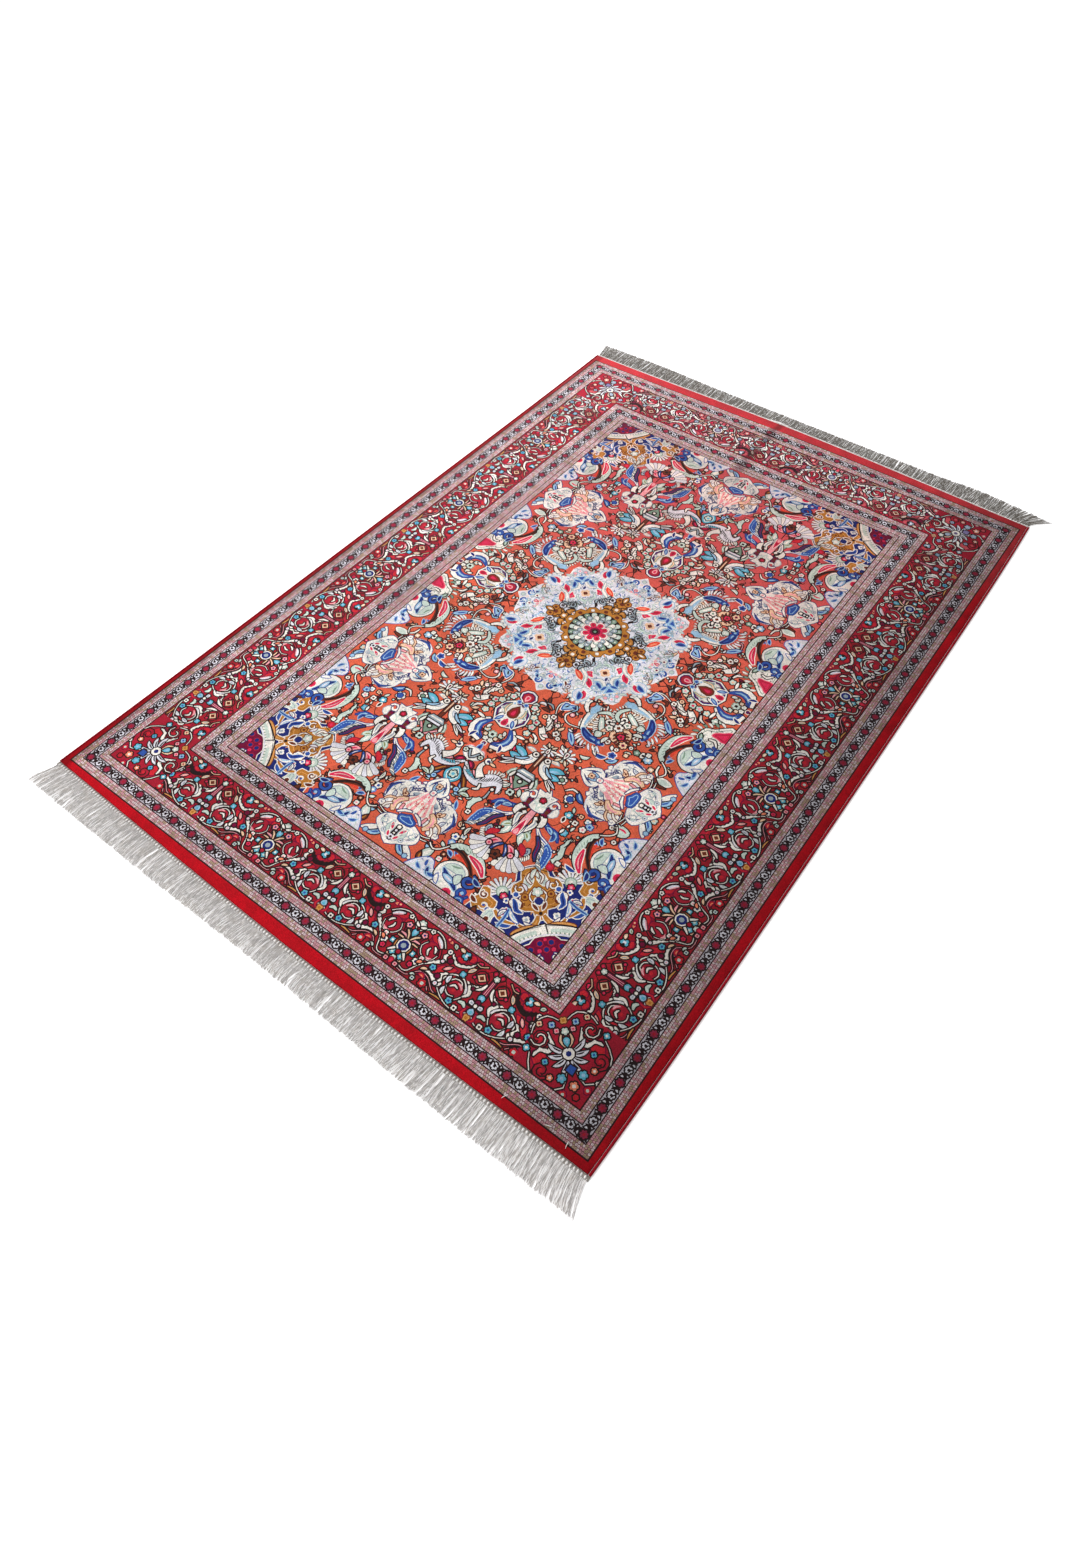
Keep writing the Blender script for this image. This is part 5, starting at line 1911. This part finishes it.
def paths_object(name, paths, radii=None):
    """A mesh of bare edges: one line of points for each path, and a radius for each point."""
    points = []
    edges = []
    for path in paths:
        start = len(points)
        points.extend(path)
        edges.extend((i, i + 1) for i in range(start, len(points) - 1))
    mesh = bpy.data.meshes.new(name)
    mesh.from_pydata(points, edges, [])
    if radii:
        thickness = mesh.attributes.new("thickness", "FLOAT", "POINT")
        thickness.data.foreach_set("value", [radius for row in radii for radius in row])
    return new_object(name, mesh)


def sweep(growth, line, radius, sides):
    """A smooth closed tube along a line, of a radius that may change on the way."""
    line = growth.add("GeometryNodeSetCurveRadius", {"Curve": line, "Radius": radius})
    ring = growth.add("GeometryNodeCurvePrimitiveCircle", {"Resolution": sides, "Radius": 1.0}, mode="RADIUS")
    tube = growth.add("GeometryNodeCurveToMesh", {"Curve": line, "Profile Curve": ring, "Fill Caps": True})
    if "Scale" in tube.inputs:
        growth.tree.links.new(socket_output(radius), tube.inputs["Scale"])
    return growth.add("GeometryNodeSetShadeSmooth", {"Geometry": tube})


THREAD_SIDES = 3
CORD_SIDES = 9


def spin_threads(piece, material):
    """Turns the paths of a piece into threads of the radius that each point carries."""
    growth = Growth("threads", {"Sides": ("Int", THREAD_SIDES), "Material": ("Material", material)})
    given = growth.given.outputs
    line = growth.add("GeometryNodeMeshToCurve", {"Mesh": given["Geometry"]})
    radius = growth.add("GeometryNodeInputNamedAttribute", {"Name": "thickness"}, data_type="FLOAT")
    return growth.grow(piece, sweep(growth, line, radius, given["Sides"]))


def wind_cord(piece, material):
    """A cord along the piece's path, ridged by the turns of its yarn."""
    sides = bpy.context.scene.rug_sides
    growth = Growth(
        "overcast cord",
        {
            "Radius": ("Float", SELVEDGE_RADIUS),
            "Pitch": ("Float", sides.wrap_pitch),
            "Depth": ("Float", sides.wrap_depth),
            "Material": ("Material", material),
        },
    )
    given = growth.given.outputs
    line = growth.add("GeometryNodeMeshToCurve", {"Mesh": given["Geometry"]})
    half = growth.math("MULTIPLY", given["Pitch"], 0.5)
    line = growth.add("GeometryNodeResampleCurve", {"Curve": line, "Length": half}, mode="LENGTH")
    index = growth.add("GeometryNodeInputIndex")
    groove = growth.math("MULTIPLY", growth.math("MODULO", index, 2.0), given["Depth"])
    share = growth.math("SUBTRACT", 1.0, groove)
    radius = growth.math("MULTIPLY", share, given["Radius"])
    return growth.grow(piece, sweep(growth, line, radius, CORD_SIDES))


def tie_knots(piece, material):
    """A small knot of yarn on each point of the piece, turned as the point says."""
    growth = Growth(
        "knots",
        {
            "Width": ("Float", 0.0034),
            "Length": ("Float", 0.0062),
            "Height": ("Float", 0.0019),
            "Seed": ("Int", 7),
            "Material": ("Material", material),
        },
    )
    given = growth.given.outputs
    ball = growth.add("GeometryNodeMeshUVSphere", {"Segments": 8, "Rings": 5, "Radius": 0.5})
    spread = {"Min": 0.88, "Max": 1.08, "Seed": given["Seed"]}
    uneven = growth.add("FunctionNodeRandomValue", spread, data_type="FLOAT")
    width = growth.math("MULTIPLY", given["Width"], uneven)
    size = growth.add("ShaderNodeCombineXYZ", {"X": width, "Y": given["Length"], "Z": given["Height"]})
    turn = growth.add("GeometryNodeInputNamedAttribute", {"Name": "turn"}, data_type="FLOAT")
    rotation = growth.add("ShaderNodeCombineXYZ", {"X": 0.0, "Y": 0.0, "Z": turn})
    knots = growth.add(
        "GeometryNodeInstanceOnPoints",
        {"Points": given["Geometry"], "Instance": ball, "Rotation": rotation, "Scale": size},
    )
    smooth = growth.add("GeometryNodeSetShadeSmooth", {"Geometry": knots})
    return growth.grow(piece, smooth)


# The ends


def corner_flare(u, start, reach):
    """How far a corner of the fringe spreads at u, which runs from -1 to 1 along the end."""
    share = max(0.0, (u - start) / (1 - start))
    return reach * share * share


def lean(end, u):
    """How far the fringe's tips drift sideways, for u from -1 at the left side to 1 at the right."""
    if end == "near":
        comb = 0.0028 * math.sin(9.0 * u + 0.6) - 0.0022
        return comb + corner_flare(u, 0.72, 0.0140) - corner_flare(-u, 0.70, 0.0080)
    return 0.0016 * math.sin(7.0 * u + 2.1) + corner_flare(u, 0.80, 0.0300) - corner_flare(-u, 0.84, 0.0150)


def tip_reach(end, u):
    """How far the tips lie from the carpet's end."""
    if end == "near":
        return FRINGE_REACH - 0.0012 * math.cos(5.0 * u)
    tufts = 0.0050 * math.exp(-(((u - 0.76) / 0.10) ** 2)) + 0.0040 * math.exp(-(((u + 0.72) / 0.20) ** 2))
    return FRINGE_REACH + tufts - corner_flare(u, 0.84, 0.0080)


def bundle_roots(end):
    """For each bundle: u, and the plan place and height of the carpet's edge there."""
    count = bpy.context.scene.rug_ends.bundles
    sign = SIGNS[end]
    for index in range(count):
        u = (2 * index + 1) / count - 1
        x = u * (HALF_WIDTH - 0.003)
        bowed_x, bowed_y = plan_point(x, sign * HALF_LENGTH)
        yield u, bowed_x, abs(bowed_y), wave_height(x, sign * (HALF_LENGTH + STRIP_WIDTH))


THREAD_STATIONS = (0.0, 0.12, 0.3, 0.52, 0.76, 1.0)
# How much the threads of a bundle differ, in metres
ROOT_SPREAD = 0.0031
TIP_SPREAD = 0.0011
DRIFT_SPREAD = 0.0026
HOOK_SPREAD = 0.0022
NEAR_HOOK = -0.0035  # the near fringe is combed this way, up to HOOK_END of its length
HOOK_END = 0.2
LAYER_HEIGHT = 0.0011
SWELL_HEIGHT = 0.0011


def thread_path(chance, end, u, x, y, lift, bundle_drift, radius):
    """One warp thread, from its knot to its tip."""
    sign = SIGNS[end]
    start_x = x + chance.uniform(-ROOT_SPREAD, ROOT_SPREAD)
    start_y = y + STRIP_WIDTH * chance.uniform(0.7, 1.0)
    tip_y = HALF_LENGTH + tip_reach(end, u) + chance.gauss(0, TIP_SPREAD)
    drift = lean(end, u) + bundle_drift + chance.gauss(0, DRIFT_SPREAD)
    hook = chance.gauss(NEAR_HOOK if end == "near" and u < HOOK_END else 0.0, HOOK_SPREAD)
    swell = chance.uniform(0.1, 1.0)
    layer = chance.uniform(0.0, LAYER_HEIGHT)
    path = []
    for share in THREAD_STATIONS:
        place_x = start_x + drift * share**1.5 + hook * math.sin(math.pi * share) * share
        place_y = sign * (start_y + (tip_y - start_y) * share)
        settled = max(0.0, 1 - share / 0.4) ** 2
        height = radius + lift * settled + layer * (1 - 0.5 * share)
        height += SWELL_HEIGHT * swell * math.sin(math.pi * min(1.0, share * 1.6))
        path.append((place_x, place_y, height))
    return path


def fringe_threads(end, material):
    """All the loose warp threads of one end."""
    ends = bpy.context.scene.rug_ends
    chance = random.Random(11 if end == "near" else 23)
    paths = []
    radii = []
    drift = 0.0
    for u, x, y, lift in bundle_roots(end):
        drift = 0.72 * drift + chance.gauss(0, 0.0012)
        for _ in range(ends.threads):
            radius = ends.thread_radius * chance.uniform(0.8, 1.2)
            paths.append(thread_path(chance, end, u, x, y, lift, drift, radius))
            radii.append([radius * (1 - 0.25 * share) for share in THREAD_STATIONS])
    return spin_threads(paths_object(f"fringe_threads_{end}", paths, radii), material)


LOOSE_ENDS = ((0.376, -0.7290, 245), (0.443, -0.7275, 200), (0.470, -0.7290, 280))  # place and heading
LOOSE_STATIONS = ((0.0, 0.0003), (0.0025, 0.0018), (0.0055, 0.0020), (0.0090, 0.0007))  # reach and rise
LOOSE_RADII = (0.0006, 0.0006, 0.0005, 0.0003)


def loose_ends(material):
    """Ends of yarn that stick out of the pile by the near right corner."""
    paths = []
    for x, y, heading in LOOSE_ENDS:
        way = cmath.rect(1.0, math.radians(heading))
        path = []
        for reach, rise in LOOSE_STATIONS:
            path.append((x + reach * way.real, y + reach * way.imag, THICKNESS + rise))
        paths.append(path)
    radii = [LOOSE_RADII for _ in paths]
    return spin_threads(paths_object("loose_ends", paths, radii), material)


def knot_row(end, material):
    """The white knots between the carpet and its fringe."""
    points = []
    turns = []
    sign = SIGNS[end]
    for u, x, y, height in bundle_roots(end):
        points.append((x, sign * (y + PIECE_GAP + 0.55 * STRIP_WIDTH), height + 0.0012))
        turns.append(0.12 * math.sin(40 * u))
    mesh = bpy.data.meshes.new(f"fringe_knots_{end}")
    mesh.from_pydata(points, [], [])
    mesh.attributes.new("turn", "FLOAT", "POINT").data.foreach_set("value", turns)
    return tie_knots(new_object(f"fringe_knots_{end}", mesh), material)


STRIP_COLUMNS = 206
STRIP_HEIGHT = 0.0011
# The strip's section: the share of its width and of its height
STRIP_SECTION = ((0, 0.0), (0, 1.0), (0.5, 1.15), (1, 1.0), (1, 0.0))


def end_strip(end, material):
    """The narrow woven strip between the pile and the fringe."""
    sign = SIGNS[end]
    work = bmesh.new()
    rows = []
    for offset, share in STRIP_SECTION:
        row = []
        for index in range(STRIP_COLUMNS + 1):
            x = HALF_WIDTH * (2 * index / STRIP_COLUMNS - 1)
            y = sign * (HALF_LENGTH + PIECE_GAP + offset * STRIP_WIDTH)
            place = plan_point(x, y)
            row.append(work.verts.new((*place, wave_height(x, y) + STRIP_HEIGHT * share)))
        rows.append(row)
    for first, second in zip(rows, rows[1:] + rows[:1]):
        for index in range(STRIP_COLUMNS):
            work.faces.new([first[index], first[index + 1], second[index + 1], second[index]])
    for index in (0, STRIP_COLUMNS):
        work.faces.new([row[index] for row in rows])
    bmesh.ops.recalc_face_normals(work, faces=work.faces)
    mesh = bpy.data.meshes.new(f"end_strip_{end}")
    work.to_mesh(mesh)
    work.free()
    mesh.materials.append(material)
    return new_object(f"end_strip_{end}", mesh)


SIDE_POINTS = 150


def side_path(side):
    """The middle line of the cord along one side."""
    sign = SIGNS[side]
    ideal_x = sign * (HALF_WIDTH - SELVEDGE_RADIUS)
    path = []
    for index in range(SIDE_POINTS):
        ideal_y = HALF_LENGTH * (2 * index / (SIDE_POINTS - 1) - 1)
        x, y = plan_point(ideal_x, ideal_y)
        path.append((x, y, SELVEDGE_RADIUS + wave_height(ideal_x, ideal_y)))
    return path


# Operators


class RUG_OT_knot_pile(bpy.types.Operator):
    """Knots the carpet: the field, and the stripes round it"""

    bl_idname = "rug.knot_pile"
    bl_label = "Knot the pile"

    def execute(self, context):
        pile = context.scene.rug_pile
        material = pile_material()
        step = pile.grid_step / CM
        for region, is_field, in_region in (("field", True, in_field), ("borders", False, in_borders)):
            shapes = field_pattern() if is_field else border_pattern()
            parts = quarter(shapes, is_field, step)
            for end in ("near", "far"):
                for side in ("left", "right"):
                    piece = pile_piece(f"pile_{region}_{end}_{side}", shapes, parts, end, side, in_region)
                    finish_piece(piece, material)
        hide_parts("carpet")
        return {"FINISHED"}


class RUG_OT_overcast_sides(bpy.types.Operator):
    """Winds the silk cords along both sides"""

    bl_idname = "rug.overcast_sides"
    bl_label = "Overcast the sides"

    def execute(self, context):
        material = overcast_material()
        for side in ("left", "right"):
            piece = wind_cord(paths_object(f"overcast_{side}", [side_path(side)]), material)
            finish_piece(piece)
            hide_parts(f"selvedge_{side}")
        return {"FINISHED"}


class RUG_OT_finish_ends(bpy.types.Operator):
    """Weaves the end strips, ties the knots and lays out the fringe"""

    bl_idname = "rug.finish_ends"
    bl_label = "Finish the ends"

    def execute(self, context):
        ends = context.scene.rug_ends
        colours = {"near": ends.near_colour, "far": ends.far_colour}
        strips = {
            "near": thread_material("woven end strip near", tuple(ends.gap_colour), 0.8, 700.0),
            "far": thread_material("woven end strip far", tuple(ends.knot_colour), 0.8, 700.0),
        }
        knots = thread_material("fringe knots", tuple(ends.knot_colour), 0.6, 1200.0)
        for end in ("near", "far"):
            threads = thread_material(f"warp threads {end}", tuple(colours[end]))
            fringe = finish_piece(fringe_threads(end, threads))
            finish_piece(knot_row(end, knots))
            finish_piece(end_strip(end, strips[end]))
            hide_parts(f"fringe_{end}")
        finish_piece(loose_ends(knots))
        return {"FINISHED"}


class RUG_OT_set_studio(bpy.types.Operator):
    """Lays the pale floor and sets the lights and the camera"""

    bl_idname = "rug.set_studio"
    bl_label = "Set up the studio"

    def execute(self, context):
        scene = context.scene
        studio = scene.rug_studio
        make_floor()
        make_lights()
        make_camera(studio)
        scene.view_settings.view_transform = "Standard"
        scene.view_settings.look = "None"
        return {"FINISHED"}


FLOOR_SIZE = 14.0
FLOOR_LEVEL = -0.0002
FLOOR_GLOW = (0.44, 0.80)  # how brightly the floor glows under the rug, and far from it


def make_floor():
    mesh = bpy.data.meshes.new("studio_floor")
    half = FLOOR_SIZE / 2
    corners = [(x, y, FLOOR_LEVEL) for x, y in ((-half, -half), (half, -half), (half, half), (-half, half))]
    mesh.from_pydata(corners, [], [(0, 1, 2, 3)])
    mesh.materials.append(floor_material())
    new_object("studio_floor", mesh)


LIGHTS = [
    # name, place, target, size, power in watts, colour
    ("back left softbox", (-1.7, 1.5, 2.05), (-0.2, 0.1, 0.0), (1.8, 2.6), 98.0, (1.0, 0.985, 0.99)),
    ("front softbox", (-0.9, -2.6, 2.4), (0.0, -0.1, 0.0), (1.8, 1.8), 77.0, (1.0, 0.99, 0.98)),
]
WORLD_STRENGTH = 0.14


def make_lights():
    for name, place, target, size, power, colour in LIGHTS:
        light = bpy.data.lights.new(name, "AREA")
        light.shape = "RECTANGLE"
        light.size, light.size_y = size
        light.energy = power
        light.color = colour
        lamp = new_object(name, light)
        lamp.location = place
        lamp.rotation_euler = (Vector(target) - Vector(place)).to_track_quat("-Z", "Y").to_euler()
    world = bpy.data.worlds.new("studio")
    world.use_nodes = True
    background = world.node_tree.nodes["Background"]
    background.inputs["Color"].default_value = WHITE
    background.inputs["Strength"].default_value = WORLD_STRENGTH
    bpy.context.scene.world = world


def make_camera(studio):
    """The camera of the photograph, on level right and up axes turned by its roll."""
    azimuth, elevation, roll = studio.camera_azimuth, studio.camera_elevation, studio.camera_roll
    flat = math.cos(elevation)
    ahead = Vector((-math.sin(azimuth) * flat, math.cos(azimuth) * flat, -math.sin(elevation)))
    level = Vector((math.cos(azimuth), math.sin(azimuth), 0.0))
    upright = level.cross(ahead)
    right = math.cos(roll) * level + math.sin(roll) * upright
    up = math.cos(roll) * upright - math.sin(roll) * level
    camera = bpy.data.cameras.new("camera")
    camera.lens = studio.lens
    camera.sensor_width = 36.0
    camera.sensor_fit = "AUTO"
    camera.clip_end = 50.0
    made = new_object("camera", camera)
    axes = Matrix((right, up, -ahead)).transposed()
    made.matrix_world = Matrix.Translation(Vector(studio.camera_place)) @ axes.to_4x4()
    bpy.context.scene.camera = made


class RUG_PT_panel(bpy.types.Panel):
    """The rug's settings and the steps that build it"""

    bl_idname = "RUG_PT_panel"
    bl_label = "Persian rug"
    bl_space_type = "VIEW_3D"
    bl_region_type = "UI"
    bl_category = "Rug"

    def draw(self, context):
        for step in STEPS:
            self.layout.operator(step.bl_idname)
        for name, group in SETTINGS.items():
            box = self.layout.box()
            box.label(text=group.__doc__)
            for setting in group.__annotations__:
                box.prop(getattr(context.scene, name), setting)


STEPS = (RUG_OT_knot_pile, RUG_OT_overcast_sides, RUG_OT_finish_ends, RUG_OT_set_studio)


def register():
    for group in (*SETTINGS.values(), *STEPS, RUG_PT_panel):
        bpy.utils.register_class(group)
    for name, group in SETTINGS.items():
        setattr(bpy.types.Scene, name, bpy.props.PointerProperty(type=group))


def unregister():
    for name in SETTINGS:
        delattr(bpy.types.Scene, name)
    for group in (RUG_PT_panel, *reversed(STEPS), *reversed(SETTINGS.values())):
        bpy.utils.unregister_class(group)


def main():
    register()
    bpy.ops.rug.knot_pile()
    bpy.ops.rug.overcast_sides()
    bpy.ops.rug.finish_ends()
    bpy.ops.rug.set_studio()
    bpy.context.view_layer.update()


if __name__ == "__main__":
    main()
